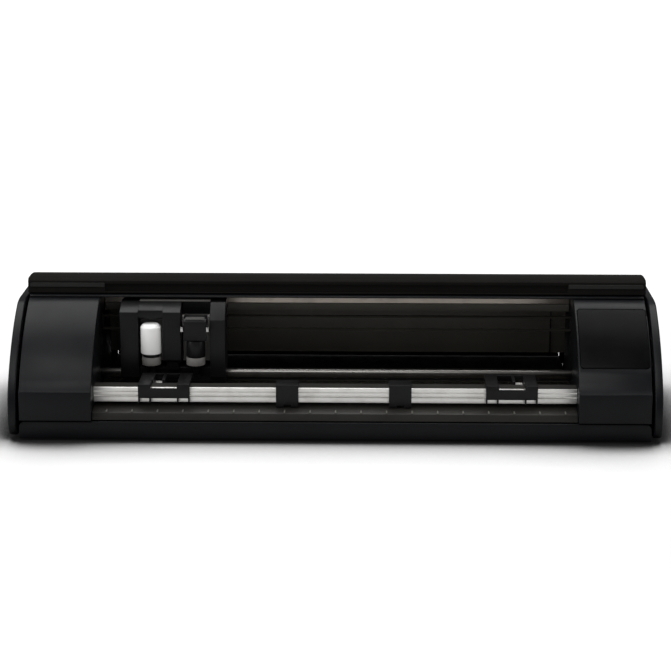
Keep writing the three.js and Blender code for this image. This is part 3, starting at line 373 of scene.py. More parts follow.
@dataclass(frozen=True)
class CircuitBoard(Finish):
    """A green board with tracks under its solder mask.

    Attributes:
        mask: The solder mask.
        track: The mask where copper lies under it.
    """

    mask: str
    track: str

    def build(self) -> bpy.types.Material:
        """Builds the board's node material."""
        material, tree, output = fresh_material(self.name)
        place = object_place(tree)
        # Cells with straight sides stand for blocks of track.
        cells = add_node(
            tree, "TexVoronoi", {"Vector": place, "Scale": per_metre(5.0)}, distance="CHEBYCHEV"
        ).outputs["Distance"]
        copper = ramp(tree, cells, (0.3, 0.34), (0.0, 1.0))
        tone = add_node(
            tree, "Mix", {0: copper, 6: linear(self.mask), 7: linear(self.track)}, data_type="RGBA"
        ).outputs[2]
        shader = add_node(tree, "BsdfPrincipled", {"Base Color": tone, "Roughness": 0.35})
        tree.links.new(shader.outputs[0], output.inputs[0])
        return material


@dataclass(frozen=True)
class StudioFloor(Finish):
    """A pale floor that stays near white and keeps a soft shadow.

    Attributes:
        colour: The floor's paint.
        glow: The white it shows by itself close to the machine and far from it.
        reach: Where the near glow ends and the far glow starts, in metres.
        shade_reach: How far from the machine its painted contact shade reaches, in metres.
    """

    colour: str
    glow: Span
    reach: Span = (0.5, 1.3)
    shade_reach: float = 0.1

    def build(self) -> bpy.types.Material:
        """Builds the floor's node material."""
        material, tree, output = fresh_material(self.name)
        place = object_place(tree)
        # Barely visible mottling of a painted floor.
        mottle = ramp(tree, noise(tree, place, 260.0), (0.3, 0.7), (0.97, 1.0))
        tone = add_node(
            tree, "Mix", {0: 1.0, 6: linear(self.colour), 7: mottle}, data_type="RGBA", blend_type="MULTIPLY"
        ).outputs[2]
        # Close under the machine a contact shade is painted into the floor's paint and its glow, darker where less of
        # the open room is seen.
        opening = add_node(tree, "AmbientOcclusion", {"Distance": self.shade_reach}, samples=16).outputs["AO"]
        shade = ramp(tree, opening, (0.6, 0.97), (0.03, 1.0))
        shaded = add_node(
            tree, "Mix", {0: 1.0, 6: tone, 7: shade}, data_type="RGBA", blend_type="MULTIPLY"
        ).outputs[2]
        paint = add_node(tree, "BsdfDiffuse", {"Color": shaded}).outputs[0]
        # Away from the machine the floor passes into the white surround.
        distance = add_node(tree, "VectorMath", {0: place}, operation="LENGTH").outputs["Value"]
        glow = ramp(tree, distance, self.reach, self.glow)
        camera = add_node(tree, "LightPath").outputs["Is Camera Ray"]
        lit = add_node(tree, "Math", {0: shade, 1: glow}, operation="MULTIPLY").outputs[0]
        strength = add_node(tree, "Math", {0: camera, 1: lit}, operation="MULTIPLY").outputs[0]
        light = add_node(tree, "Emission", {"Color": linear("ffffff"), "Strength": strength}).outputs[0]
        both = add_node(tree, "AddShader", {0: paint, 1: light}).outputs[0]
        tree.links.new(both, output.inputs[0])
        return material


class Surface(Enum):
    """Every finish on the cutter, with the record's material slot it belongs to."""

    LID = (MouldedPlastic("lid_plastic", "#121110", "#151413", (0.36, 0.42), 0.5, 0.006, 0.015), "cover")
    CASING = (MouldedPlastic("casing_plastic", "#0b0c0e", "#0e0f11", (0.32, 0.4), 0.5, 0.008, 0.13), "casing")
    INNER = (MouldedPlastic("inner_plastic", "#1c1b19", "#22211e", (0.42, 0.5), 0.8, 0.012, 0.2), "inner_plastic")
    PLATEN = (MouldedPlastic("platen_plastic", "#3d3b36", "#44423c", (0.42, 0.5), 0.8, 0.012, 0.3), "inner_plastic")
    BLOCK = (MouldedPlastic("block_plastic", "#1b1b1a", "#20201f", (0.36, 0.44), 0.5, 0.008, 0.12), "cover")
    PLATE = (MouldedPlastic("plate_plastic", "#3c3b39", "#434240", (0.36, 0.44), 0.5, 0.008, 0.3), "grey_plastic")
    # Ribs of the inner plastic, made a lighter grey: a painted highlight for the light that catches them.
    RIB_HIGHLIGHT = (MouldedPlastic("rib_highlight_plastic", "#4c4b47", "#54534e", (0.4, 0.5), 0.5, 0.01, 0.4), "inner_plastic")
    TOOL = (MouldedPlastic("tool_plastic", "#0c0c0d", "#111112", (0.32, 0.42), 0.5, 0.008, 0.16), "inner_plastic")
    GREY = (MouldedPlastic("grey_plastic", "#6b6966", "#757370", (0.34, 0.42), 0.5, 0.006, 0.45), "grey_plastic")
    WHITE = (MouldedPlastic("white_plastic", "#e8e8e6", "#ececea", (0.3, 0.38), 0.4, 0.004, 0.5), "white_plastic")
    PINCH = (MouldedPlastic("pinch_rubber", "#9a9894", "#a8a6a2", (0.55, 0.65), 0.5, 0.02, 0.3), "grey_plastic")
    RUBBER = (MouldedPlastic("black_rubber", "#101010", "#161616", (0.7, 0.8), 0.7, 0.03, 0.25), "rubber")
    BELT = (MouldedPlastic("belt_rubber", "#1f1e1b", "#252420", (0.8, 0.9), 0.7, 0.03, 0.05), "rubber")
    DARK = (MouldedPlastic("shadow_plastic", "#060606", "#090909", (0.5, 0.6), 0.6, 0.01, 0.2), "inner_plastic")
    WALL = (MouldedPlastic("wall_plastic", "#4a4842", "#504e47", (0.45, 0.55), 0.8, 0.01, 0.3), "inner_plastic")
    GLASS = (DarkGlass("display_glass", "#0a0a0b", (0.3, 0.36)), "display_glass")
    SCREEN = (DarkGlass("display_panel", "#121316", (0.3, 0.4)), "display_glass")
    BAR = (Metal("bar_aluminium", "#e6e5e2", "#d8d6d2", (0.42, 0.5), Grain.ALONG_X, 0.2, 0.002), "aluminium")
    RAIL = (Metal("rail_aluminium", "#978f87", "#878079", (0.3, 0.42), Grain.ALONG_X), "aluminium")
    STEEL = (Metal("ground_steel", "#73716e", "#676562", (0.26, 0.32), Grain.ALONG_X, 0.15, 0.001), "steel")
    SILVER = (Metal("tab_steel", "#b9b9b8", "#a4a4a2", (0.28, 0.36), Grain.ALONG_Y, 0.2, 0.002), "steel")
    BLADE = (Metal("blade_steel", "#b8b8b8", "#9c9c9c", (0.15, 0.25), Grain.ALONG_Z, 0.1), "steel")
    MOTOR = (Metal("motor_steel", "#6e6c68", "#5a5854", (0.4, 0.5), Grain.ALONG_Z, 0.3), "steel")
    BRASS = (Metal("gear_brass", "#b4924c", "#8c713c", (0.25, 0.4), Grain.NONE, 0.3), "brass")
    ROLLER = (GrittedSteel("roller_steel", "#4c4a47", "#33312f", 50.8), "steel")
    BOARD = (CircuitBoard("board_mask", "#0f3a22", "#1c5a34"), "circuit_board")

    @property
    def finish(self) -> Finish:
        """The finish."""
        return self.value[0]

    @property
    def slot(self) -> str:
        """The record's material slot."""
        return self.value[1]


@dataclass
class Palette:
    """Builds each finish once and hands it out.

    Attributes:
        made: The materials built so far, by finish name.
    """

    made: dict[str, bpy.types.Material] = field(default_factory=dict)

    def material(self, finish: Finish) -> bpy.types.Material:
        """Gives a finish's material, building it on first use."""
        if finish.name not in self.made:
            self.made[finish.name] = finish.build()
        return self.made[finish.name]


# ---- Modelling ----


def deselect_all() -> None:
    """Leaves edit mode and deselects every object."""
    if bpy.context.object is not None and bpy.context.object.mode != "OBJECT":
        bpy.ops.object.mode_set(mode="OBJECT")
    bpy.ops.object.select_all(action="DESELECT")


class Workpiece:
    """One mesh on the bench, shaped with edit-mode steps in the row frame."""

    def __init__(self, shape: bpy.types.Object, name: str) -> None:
        """Takes an object onto the bench.

        Args:
            shape: The object.
            name: The piece's name.
        """
        self.shape = shape
        shape.name = name
        shape.data.name = name
        self.take()

    @classmethod
    def block(cls, name: str, low: Point, high: Point) -> "Workpiece":
        """Starts from a block.

        Args:
            name: The piece's name.
            low: The block's lowest corner.
            high: The block's highest corner.

        Returns:
            The block on the bench.
        """
        deselect_all()
        middle = [(a + b) / 2 * MM for a, b in zip(low, high)]
        size = [(b - a) * MM for a, b in zip(low, high)]
        bpy.ops.mesh.primitive_cube_add(size=1.0, location=middle, scale=size)
        return cls(bpy.context.object, name)

    @classmethod
    def of_node(cls, node: str, name: str | None = None) -> "Workpiece":
        """Starts from a merged copy of a CAD node.

        Args:
            node: The CAD node.
            name: The piece's name, or None for the node's name and "shell".

        Returns:
            The copy on the bench, as plain faces.
        """
        deselect_all()
        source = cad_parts[node]
        copy = bpy.data.objects.new(name or node + "_shell", source.data.copy())
        bpy.context.scene.collection.objects.link(copy)
        copy.data.materials.clear()
        piece = cls(copy, name or node + "_shell")
        piece.edit_all()
        bpy.ops.mesh.remove_doubles(threshold=0.00001)
        bpy.ops.mesh.normals_make_consistent(inside=False)
        bpy.ops.mesh.dissolve_limited(angle_limit=math.radians(0.4))
        piece.done()
        return piece

    def take(self) -> None:
        """Makes the piece the only selected, active object."""
        deselect_all()
        self.shape.select_set(True)
        bpy.context.view_layer.objects.active = self.shape

    def edit_all(self) -> None:
        """Enters edit mode with everything selected."""
        self.take()
        bpy.ops.object.mode_set(mode="EDIT")
        bpy.ops.mesh.select_all(action="SELECT")

    def done(self) -> None:
        """Leaves edit mode."""
        bpy.ops.object.mode_set(mode="OBJECT")

    def settle(self) -> "Workpiece":
        """Moves the object's place into its mesh, so that it sits at the origin."""
        self.take()
        bpy.ops.object.transform_apply(location=True, rotation=True, scale=True)
        return self

    def pick_faces(self, test: FaceTest) -> int:
        """Enters edit mode with the faces that pass a test selected.

        Args:
            test: Takes a face's centre in millimetres and its normal.

        Returns:
            How many faces passed.
        """
        self.settle()
        bpy.context.tool_settings.mesh_select_mode = (False, False, True)
        mesh = self.shape.data
        for group in (mesh.vertices, mesh.edges, mesh.polygons):
            group.foreach_set("select", [False] * len(group))
        passed = 0
        for face in mesh.polygons:
            face.select = bool(test(face.center * 1000, face.normal))
            passed += face.select
        bpy.ops.object.mode_set(mode="EDIT")
        return passed

    def pick_edges(self, test: EdgeTest) -> int:
        """Enters edit mode with the edges that pass a test selected.

        Args:
            test: Takes an edge's two ends, in millimetres.

        Returns:
            How many edges passed.
        """
        self.settle()
        bpy.context.tool_settings.mesh_select_mode = (False, True, False)
        mesh = self.shape.data
        for group in (mesh.vertices, mesh.edges, mesh.polygons):
            group.foreach_set("select", [False] * len(group))
        passed = 0
        for edge in mesh.edges:
            ends = [mesh.vertices[i].co * 1000 for i in edge.vertices]
            edge.select = bool(test(ends[0], ends[1]))
            passed += edge.select
        bpy.ops.object.mode_set(mode="EDIT")
        return passed

    def inset(self, test: FaceTest, margin: float, depth: float = 0.0) -> "Workpiece":
        """Insets faces and moves the inner part along its normal.

        Args:
            test: The faces.
            margin: How wide the rim is.
            depth: How far the inner part moves, outward if positive.

        Returns:
            The same piece.
        """
        if self.pick_faces(test):
            bpy.ops.mesh.inset(thickness=margin * MM, depth=0.0)
            if depth:
                bpy.ops.mesh.inset(thickness=0.00001, depth=depth * MM)
        self.done()
        return self

    def extrude(self, test: FaceTest, move: Point) -> "Workpiece":
        """Extrudes faces by a move.

        Args:
            test: The faces.
            move: How far they go, in millimetres.

        Returns:
            The same piece.
        """
        if self.pick_faces(test):
            bpy.ops.mesh.extrude_region_move(
                TRANSFORM_OT_translate={"value": [m * MM for m in move], "orient_type": "GLOBAL"}
            )
        self.done()
        return self

    def bevel(self, test: EdgeTest, width: float, segments: int = 3) -> "Workpiece":
        """Rounds edges.

        Args:
            test: The edges.
            width: The width of the rounding.
            segments: How many steps it has.

        Returns:
            The same piece.
        """
        if self.pick_edges(test):
            bpy.ops.mesh.bevel(offset=width * MM, segments=segments, profile=0.5, affect="EDGES")
        self.done()
        return self

    def cuts(self, axis: int, places: Iterable[float]) -> "Workpiece":
        """Cuts the mesh across an axis without parting it.

        Args:
            axis: 0, 1 or 2 for X, Y or Z.
            places: Where the cuts are.

        Returns:
            The same piece.
        """
        self.settle()
        normal = [0.0, 0.0, 0.0]
        normal[axis] = 1.0
        for place in places:
            self.edit_all()
            bpy.ops.mesh.bisect(plane_co=[n * place * MM for n in normal], plane_no=normal)
            self.done()
        return self

    def soften(self, width: float, segments: int = 2, angle: float = 30.0) -> "Workpiece":
        """Rounds every sharp edge and applies the rounding.

        Args:
            width: The width of the rounding.
            segments: How many steps it has.
            angle: The least angle of an edge that is rounded, in degrees.

        Returns:
            The same piece.
        """
        self.settle()
        modifier = self.shape.modifiers.new("soften", "BEVEL")
        modifier.width = width * MM
        modifier.segments = segments
        modifier.limit_method = "ANGLE"
        modifier.angle_limit = math.radians(angle)
        modifier.use_clamp_overlap = False
        modifier.miter_outer = "MITER_ARC"
        bpy.ops.object.modifier_apply(modifier="soften")
        return self

    def join(self, others: Sequence["Workpiece"]) -> "Workpiece":
        """Joins other pieces into this one as loose bodies of one mesh.

        Args:
            others: The other pieces.

        Returns:
            The same piece.
        """
        self.take()
        for other in others:
            other.shape.select_set(True)
        bpy.ops.object.join()
        return self

    def repeat(self, moves: Iterable[Point]) -> "Workpiece":
        """Copies the piece to other places and joins the copies.

        Args:
            moves: How far each copy stands from the first.

        Returns:
            The same piece.
        """
        self.settle()
        copies = []
        for move in moves:
            twin = bpy.data.objects.new("twin", self.shape.data.copy())
            bpy.context.scene.collection.objects.link(twin)
            twin.location = [m * MM for m in move]
            copies.append(Workpiece(twin, "twin"))
        return self.join(copies).settle() if copies else self

    def mirrored(self, name: str) -> "Workpiece":
        """Makes a copy mirrored across the middle of the machine.

        Args:
            name: The copy's name.

        Returns:
            The copy.
        """
        self.settle()
        twin = bpy.data.objects.new(name, self.shape.data.copy())
        bpy.context.scene.collection.objects.link(twin)
        piece = Workpiece(twin, name)
        piece.edit_all()
        bpy.ops.transform.mirror(constraint_axis=(True, False, False), center_override=(0, 0, 0))
        bpy.ops.mesh.flip_normals()
        piece.done()
        return piece

    def smooth(self, angle: float = 28.0) -> "Workpiece":
        """Shades faces smooth where they meet at less than an angle."""
        self.take()
        bpy.ops.object.shade_smooth_by_angle(angle=math.radians(angle))
        return self


@dataclass
class Bench:
    """Dresses pieces and hangs them on their bodies.

    Attributes:
        palette: The finishes.
        count: How many pieces were hung.
    """

    palette: Palette = field(default_factory=Palette)
    count: int = 0

    def hang(self, piece: Workpiece, body: str, surface: Surface, *nodes: str) -> bpy.types.Object:
        """Finishes a piece and hangs it on a body.

        Args:
            piece: The piece.
            body: The body it moves with.
            surface: Its finish.
            nodes: The CAD nodes it stands for.

        Returns:
            The finished object.
        """
        piece.settle().smooth()
        shape = piece.shape
        shape.data.materials.clear()
        shape.data.materials.append(self.palette.material(surface.finish))
        if nodes:
            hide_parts(*nodes)
        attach(shape, body)
        self.count += 1
        log.info("%s on %s, %d faces", shape.name, body, len(shape.data.polygons))
        return shape

    def dress_node(
        self, node: str, body: str, surface: Surface, width: float = 0.4, segments: int = 2
    ) -> bpy.types.Object:
        """Stands a merged, softened copy in for a CAD node.

        Args:
            node: The CAD node.
            body: The body it moves with.
            surface: Its finish.
            width: The width of the rounding on its edges.
            segments: How many steps the rounding has.

        Returns:
            The finished object.
        """
        piece = Workpiece.of_node(node)
        if width:
            piece.soften(width, segments)
        return self.hang(piece, body, surface, node)


# ---- The machine ----


@dataclass
class Casing:
    """End caps, side housings, base, feet and rear cover.

    Attributes:
        cap_round: The rounding of an end cap's outer edge.
        housing_round: The rounding of a housing's edges.
    """

    cap_round: float = 1.6
    housing_round: float = 0.8
    seam_place: float = 225.0
    brush_span: Span = (-241.0, 241.0)
    brush_depth: float = 104.4
    brush_heights: Span = (32.4, 52.8)
    tuft_width: float = 4.0

    def build(self, bench: Bench) -> None:
        """Builds and dresses the casing."""
        for side in ("left", "right"):
            bench.dress_node(f"end_cap_{side}", "chassis", Surface.CASING, self.cap_round, 4)
            bench.dress_node(f"side_housing_{side}", "chassis", Surface.CASING, self.housing_round, 3)
        bench.dress_node("rear_cover", "chassis", Surface.CASING, 0.5)
        bench.dress_node("top_cover", "chassis", Surface.CASING, 0.5)
        bench.dress_node("base_pan", "chassis", Surface.INNER, 0.3, 1)
        bench.dress_node("inner_back_wall", "chassis", Surface.WALL, 0.3)
        self._build_wall_seam(bench)
        self._build_dust_brush(bench)
        for row in ("front", "rear"):
            for side in ("left", "right"):
                bench.dress_node(f"foot_{row}_{side}", "chassis", Surface.RUBBER, 0.5)


    def _build_wall_seam(self, bench: Bench) -> None:
        """Builds the upright seam strip near the right end of the back wall."""
        low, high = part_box("inner_back_wall")
        front = low.y * 1000
        strip = Workpiece.block(
            "wall_seam",
            (self.seam_place, front - 1.2, low.z * 1000 + 0.4),
            (self.seam_place + 1.4, front - 0.1, high.z * 1000 - 1),
        )
        strip.inset(lambda centre, normal: normal.y < -0.9, 0.3, 0.3).soften(0.15)
        bench.hang(strip, "chassis", Surface.TOOL)

    def _build_dust_brush(self, bench: Bench) -> None:
        """Builds the brush that hangs in the exit slot at the back, tuft by tuft."""
        slot_left, slot_right = self.brush_span
        tuft = Workpiece.block(
            "dust_brush",
            (slot_left, self.brush_depth, self.brush_heights[0]),
            (slot_left + self.tuft_width - 0.2, self.brush_depth + 0.8, self.brush_heights[1]),
        )
        tuft.cuts(2, [self.brush_heights[1] - 3])
        tuft.inset(lambda centre, normal: abs(normal.y) > 0.9 and centre.z < self.brush_heights[1] - 4, 0.3, 0.15)
        count = int((slot_right - slot_left) / self.tuft_width)
        tuft.repeat([(i * self.tuft_width, 0, 0) for i in range(1, count)])
        backing = Workpiece.block(
            "brush_backing",
            (slot_left, self.brush_depth + 0.2, self.brush_heights[0]),
            (slot_right, self.brush_depth + 0.6, self.brush_heights[1] + 1),
        )
        tuft.join([backing.soften(0.1, 1)])
        # The brush and its backing take the near-black painted shade of the slot's inside.
        bench.hang(tuft, "chassis", Surface.DARK)


@dataclass
class Lid:
    """The sliding cover.

    Attributes:
        edge_round: The rounding of its edges.
    """

    edge_round: float = 0.6
    block_outer: float = 314.0
    block_inner: float = 237.5
    block_heights: Span = (136.4, 140.6)

    def build(self, bench: Bench) -> None:
        """Builds and dresses the lid."""
        bench.dress_node("sliding_cover", "cover", Surface.LID, self.edge_round, 3)
        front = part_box("sliding_cover")[0].y * 1000
        block = Workpiece.block(
            "lid_end_block_left",
            (-self.block_outer, front - 0.8, self.block_heights[0]),
            (-self.block_inner, front + 1.0, self.block_heights[1]),
        )
        # The outer end of the block is rounded, as a thumb would find it.
        block.bevel(lambda a, b: abs(a.x + self.block_outer) < 0.1 and abs(b.x + self.block_outer) < 0.1
                    and abs(a.z - b.z) < 0.1, 1.6, 4)
        block.soften(0.25)
        twin = block.mirrored("lid_end_block_right")
        bench.hang(block, "cover", Surface.BLOCK)
        bench.hang(twin, "cover", Surface.BLOCK)


@dataclass
class Display:
    """The touch display and its screen.

    Attributes:
        edge_round: The rounding of the glass.
    """

    edge_round: float = 0.3

    def build(self, bench: Bench) -> None:
        """Builds and dresses the display."""
        bench.dress_node("display_glass", "chassis", Surface.GLASS, self.edge_round, 3)
        bench.dress_node("display_screen", "chassis", Surface.SCREEN, 0.2)


@dataclass
class MediaPath:
    """Tray, platens, cutting strip and drive roller.

    Attributes:
        edge_round: The rounding of the plates.
        half_span: Half the width of the opening.
    """

    edge_round: float = 0.4
    half_span: float = 241.0

    def build(self, bench: Bench) -> None:
        """Builds and dresses the way of the media."""
        bench.dress_node("front_tray", "chassis", Surface.INNER, self.edge_round)
        bench.dress_node("platen", "chassis", Surface.PLATEN, self.edge_round)
        # The rear platen lies deep in the exit slot and takes its near-black painted shade.
        bench.dress_node("rear_platen", "chassis", Surface.DARK, self.edge_round)
        bench.dress_node("cutting_strip", "chassis", Surface.INNER, 0.2, 1)
        bench.dress_node("drive_roller", "drive_roller_body", Surface.ROLLER, 0.3)
        bench.dress_node("roller_gear", "drive_roller_body", Surface.BRASS, 0.0)
        for side in ("left", "right"):
            bench.dress_node(f"roller_bush_{side}", "chassis", Surface.BRASS, 0.3)
        bench.dress_node("feed_motor", "chassis", Surface.MOTOR, 0.5)
        bench.dress_node("feed_pinion", "feed_pinion_body", Surface.BRASS, 0.0)
        tray_left = -self.half_span
        # The ribs are lighter than the plastic they rise from, a painted highlight along each rib.
        self._build_ribs(bench, "tray_ribs", (tray_left, -101.0, 29.2), (1.4, 14.0, 1.0), 25.4, Surface.RIB_HIGHLIGHT)
        self._build_ribs(bench, "platen_ribs", (tray_left, -27.5, 35.9), (1.0, 20.5, 0.5), 25.4, Surface.RIB_HIGHLIGHT)
        self._build_ribs(bench, "platen_ticks", (tray_left + 12.7, -45.0, 35.9), (0.8, 6.0, 0.4), 25.4, Surface.RIB_HIGHLIGHT)
        self._build_ribs(bench, "rear_ribs", (tray_left, 4.0, 34.3), (1.6, 30.0, 1.2), 53.0, Surface.RIB_HIGHLIGHT)

    def _build_ribs(
        self, bench: Bench, name: str, start: Point, size: Point, pitch: float, surface: Surface
    ) -> None:
        """Builds a row of low ribs with rounded tops across the opening.

        Args:
            bench: Dresses and hangs the row.
            name: The row's name.
            start: The lowest corner of the first rib's place, at the opening's left end.
            size: The width, depth and height of a rib.
            pitch: The distance between ribs.
            surface: Their finish.
        """
        first = start[0] + pitch / 2
        rib = Workpiece.block(
            name, (first, start[1], start[2]), (first + size[0], start[1] + size[1], start[2] + size[2])
        )
        rib.bevel(lambda a, b: min(a.z, b.z) > start[2] + size[2] - 0.01, min(size[0], size[2]) * 0.35, 2)
        count = int((self.half_span - first) / pitch)
        rib.repeat([(i * pitch, 0, 0) for i in range(1, count + 1)])
        bench.hang(rib, "chassis", surface)


@dataclass
class PinchBar:
    """The bright bar with its roller holders and clips.

    Attributes:
        grooves: The lower and upper edge of each groove along the bar.
    """

    grooves: tuple[Span, ...] = ((41.4, 42.6), (46.4, 47.2))

    def build(self, bench: Bench) -> None:
        """Builds and dresses the bar and what hangs on it."""
        self._build_bar(bench)
        for side in ("left", "right"):
            bench.dress_node(f"roller_holder_{side}", f"holder_{side}", Surface.TOOL, 0.4)
            bench.dress_node(f"pinch_roller_{side}", f"pinch_{side}", Surface.PINCH, 0.4)
            bench.dress_node(f"bar_clip_{side}", "chassis", Surface.TOOL, 0.5)


    def _build_bar(self, bench: Bench) -> None:
        """Builds the extruded bar with two grooves along its front."""
        bar = Workpiece.of_node("pinch_bar", "pinch_bar_extrusion")
        for low, high in self.grooves:
            bar.cuts(2, [low, high])
            middle = (low + high) / 2
            bar.extrude(
                lambda centre, normal, m=middle: normal.y < -0.9 and abs(centre.z - m) < 0.3, (0, 0.7, 0)
            )
        bar.soften(0.2)
        bench.hang(bar, "chassis", Surface.BAR, "pinch_bar")
        low, high = (corner * 1000 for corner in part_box("pinch_bar"))
        liner = Workpiece.block(
            "bar_top_liner", (low.x, low.y + 0.6, high.z + 0.02), (high.x, high.y - 0.2, high.z + 0.2)
        )
        liner.inset(lambda centre, normal: normal.z > 0.9, 0.6, -0.08).soften(0.05, 1)
        bench.hang(liner, "chassis", Surface.INNER)


@dataclass
class Carriage:
    """The carriage, its two tools and the lock lever.

    Attributes:
        edge_round: The rounding of the carriage frame.
        rib_pitch: The distance between the lever's thumb ribs.
        rib_count: How many thumb ribs the lever has.
        tab_heights: The lower and upper end of the clamp tabs.
    """

    edge_round: float = 0.6
    rib_pitch: float = 1.7
    rib_count: int = 6
    tab_heights: Span = (97.0, 102.0)

    def build(self, bench: Bench) -> None:
        """Builds and dresses the carriage."""
        bench.dress_node("carriage_frame", "carriage", Surface.TOOL, self.edge_round, 3)
        bench.dress_node("carriage_top_plate", "carriage", Surface.PLATE, 0.3)
        bench.dress_node("first_tool_lift", "first_lift", Surface.GREY, 0.4)
        bench.dress_node("first_tool_body", "first_lift", Surface.TOOL, 0.4)
        bench.dress_node("first_tool_cap", "first_lift", Surface.WHITE, 1.0, 3)
        bench.dress_node("first_tool_blade", "first_lift", Surface.BLADE, 0.0)
        bench.dress_node("second_tool_lift", "second_lift", Surface.GREY, 0.4)
        bench.dress_node("second_tool_sleeve", "second_lift", Surface.TOOL, 0.4)
        bench.dress_node("lever_pin", "second_lift", Surface.STEEL, 0.2)
        bench.dress_node("lock_lever", "lever", Surface.TOOL, 0.5)
        self._build_lever_ribs(bench)
        self._build_clamp_tabs(bench)

    def _build_lever_ribs(self, bench: Bench) -> None:
        """Builds the thumb ribs across the top of the lock lever."""
        low, high = (corner * 1000 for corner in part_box("lock_lever"))
        rib = Workpiece.block(
            "lever_ribs", (low.x + 2, low.y + 1, high.z - 0.3), (high.x - 2, low.y + 1.8, high.z + 0.4)
        )
        rib.bevel(lambda a, b: min(a.z, b.z) > high.z + 0.3, 0.25, 3)
        rib.repeat([(0, i * self.rib_pitch, 0) for i in range(1, self.rib_count)])
        bench.hang(rib, "lever", Surface.PLATE)

    def _build_clamp_tabs(self, bench: Bench) -> None:
        """Builds the bright sprung tabs at both sides of the second tool."""
        low, high = (corner * 1000 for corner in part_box("second_tool_lift"))
        tab = Workpiece.block(
            "clamp_tabs",
            (low.x - 0.2, low.y - 1.0, self.tab_heights[0]),
            (low.x + 2.2, low.y - 0.1, self.tab_heights[1]),
        )
        tab.inset(lambda centre, normal: normal.y < -0.9, 0.5, 0.3).soften(0.15)
        tab.repeat([(high.x - low.x - 2.0, 0, 0)])
        bench.hang(tab, "second_lift", Surface.SILVER)


@dataclass
class Drives:
    """Guides, belt, pulleys, motors, board and ports.

    Attributes:
        edge_round: The rounding of the rod.
        strip_height: The height of the dark strip over the lower part of the rail's front.
        strip_thickness: The thickness of the dark strip.
    """

    edge_round: float = 0.3
    strip_height: float = 7.5
    strip_thickness: float = 0.9

    def build(self, bench: Bench) -> None:
        """Builds and dresses the drives and electronics."""
        bench.dress_node("guide_rod", "chassis", Surface.STEEL, self.edge_round)
        bench.dress_node("upper_rail", "chassis", Surface.RAIL, 0.4)
        low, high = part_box("upper_rail")
        # A dark strip covers the lower part of the rail's front, so that only its upper band shows bright.
        strip = Workpiece.block(
            "rail_wiper",
            (low.x * 1000 + 0.5, low.y * 1000 - self.strip_thickness - 0.05, low.z * 1000 - 0.5),
            (high.x * 1000 - 0.5, low.y * 1000 - 0.05, low.z * 1000 + self.strip_height),
        )
        strip.inset(lambda centre, normal: normal.y < -0.9, 1.0, -0.3).soften(0.15)
        bench.hang(strip, "chassis", Surface.WALL)
        bench.dress_node("carriage_belt", "chassis", Surface.BELT, 0.0)
        bench.dress_node("carriage_motor", "chassis", Surface.MOTOR, 0.5)
        bench.dress_node("drive_pulley", "drive_pulley_body", Surface.BRASS, 0.2)
        bench.dress_node("idler_pulley", "idler_pulley_body", Surface.BRASS, 0.2)
        bench.dress_node("idler_bracket", "chassis", Surface.MOTOR, 0.3)
        bench.dress_node("main_board", "chassis", Surface.BOARD, 0.1, 1)
        bench.dress_node("power_inlet", "chassis", Surface.INNER, 0.3)
        bench.dress_node("usb_port", "chassis", Surface.MOTOR, 0.2)
        bench.dress_node("power_button", "power_button_body", Surface.INNER, 0.6, 3)


@dataclass
class RollDrawer:
    """The roll drawer and its support rollers."""

    edge_round: float = 0.7

    def build(self, bench: Bench) -> None:
        """Builds and dresses the drawer."""
        bench.dress_node("roll_drawer", "drawer", Surface.CASING, self.edge_round, 3)
        for row in ("front", "rear"):
            bench.dress_node(f"roll_support_{row}", f"support_{row}", Surface.RUBBER, 0.4)


@dataclass
class Softbox:
    """A soft light.

    Attributes:
        name: Its name.
        place: Where it stands, in metres.
        aim: The point it faces, in metres.
        size: Its width and height, in metres.
        power: Its power, in watts.
        tint: Its colour.
    """

    name: str
    place: Point
    aim: Point
    size: Span
    power: float
    tint: str = "#ffffff"

    def build(self) -> None:
        """Hangs the light."""
        deselect_all()
        bpy.ops.object.light_add(type="AREA", location=self.place)
        lamp = bpy.context.object
        lamp.name = self.name
        lamp.data.shape = "RECTANGLE"
        lamp.data.size, lamp.data.size_y = self.size
        lamp.data.energy = self.power
        lamp.data.color = linear(self.tint)[:3]
        towards = Vector(self.aim) - Vector(self.place)
        lamp.rotation_euler = towards.to_track_quat("-Z", "Y").to_euler()


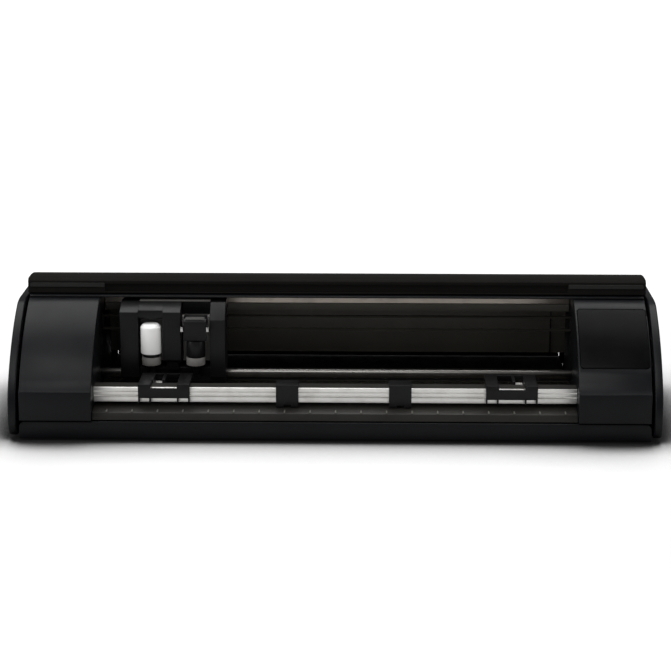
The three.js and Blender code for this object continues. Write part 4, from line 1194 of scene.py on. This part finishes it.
@dataclass
class Studio:
    """The floor, the white surround, the lights and the camera."""

    camera_place: Point = (0.0356, -1.9553, 0.6027)
    pitch: float = 14.9
    yaw: float = 1.07
    lens: float = 104.65
    floor_size: float = 12.0
    ambient: float = 0.15
    lights: tuple[Softbox, ...] = (
        Softbox("top_light", (0.0, 0.5, 2.0), (0.0, 0.0, 0.1), (3.4, 1.4), 60.0),
        Softbox("front_light", (-0.4, -1.6, 2.2), (0.0, 0.0, 0.05), (2.2, 0.9), 26.0),
        Softbox("left_light", (-2.0, -0.8, 0.9), (0.0, 0.0, 0.1), (0.8, 1.4), 20.0),
        Softbox("right_light", (2.0, -0.6, 0.9), (0.0, 0.0, 0.1), (0.8, 1.4), 10.0),
    )

    def build(self, palette: Palette) -> None:
        """Builds the studio round the cutter."""
        self._build_floor(palette)
        self._build_surround()
        for light in self.lights:
            light.build()
        self._build_camera()

    def _build_floor(self, palette: Palette) -> None:
        """Lays the floor."""
        deselect_all()
        bpy.ops.mesh.primitive_plane_add(size=self.floor_size, location=(0, 0, 0))
        floor = bpy.context.object
        floor.name = "studio_floor"
        floor.data.materials.append(palette.material(StudioFloor("studio_floor_paint", "#d0d0d0", (0.12, 1.02))))

    def _build_surround(self) -> None:
        """Makes the world white to the camera and softly grey to everything else."""
        world = bpy.data.worlds.new("studio_surround")
        world.use_nodes = True
        tree = world.node_tree
        tree.nodes.clear()
        seen = add_node(tree, "LightPath").outputs["Is Camera Ray"]
        white = add_node(tree, "Background", {"Color": linear("#ffffff"), "Strength": 1.0}).outputs[0]
        grey = add_node(tree, "Background", {"Color": linear("#ffffff"), "Strength": self.ambient}).outputs[0]
        mixed = add_node(tree, "MixShader", {0: seen, 1: grey, 2: white}).outputs[0]
        add_node(tree, "OutputWorld", {0: mixed})
        bpy.context.scene.world = world

    def _build_camera(self) -> None:
        """Sets the camera before the machine, a little above it."""
        deselect_all()
        bpy.ops.object.camera_add(location=self.camera_place)
        camera = bpy.context.object
        camera.name = "studio_camera"
        camera.rotation_euler = Euler((math.radians(90 - self.pitch), 0.0, math.radians(self.yaw)))
        camera.data.lens = self.lens
        camera.data.sensor_width = 36.0
        bpy.context.scene.camera = camera
        bpy.context.scene.view_settings.view_transform = "Standard"


def main() -> None:
    """Builds the cutter and its studio."""
    logging.basicConfig(level=logging.INFO, format="%(name)s: %(message)s")
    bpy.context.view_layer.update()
    bench = Bench()
    assemblies = (
        Casing(),
        Lid(),
        Display(),
        MediaPath(),
        PinchBar(),
        Carriage(),
        Drives(),
        RollDrawer(),
    )
    for assembly in assemblies:
        assembly.build(bench)
    log.info("%d pieces", bench.count)
    Studio().build(bench.palette)


if __name__ == "__main__":
    main()
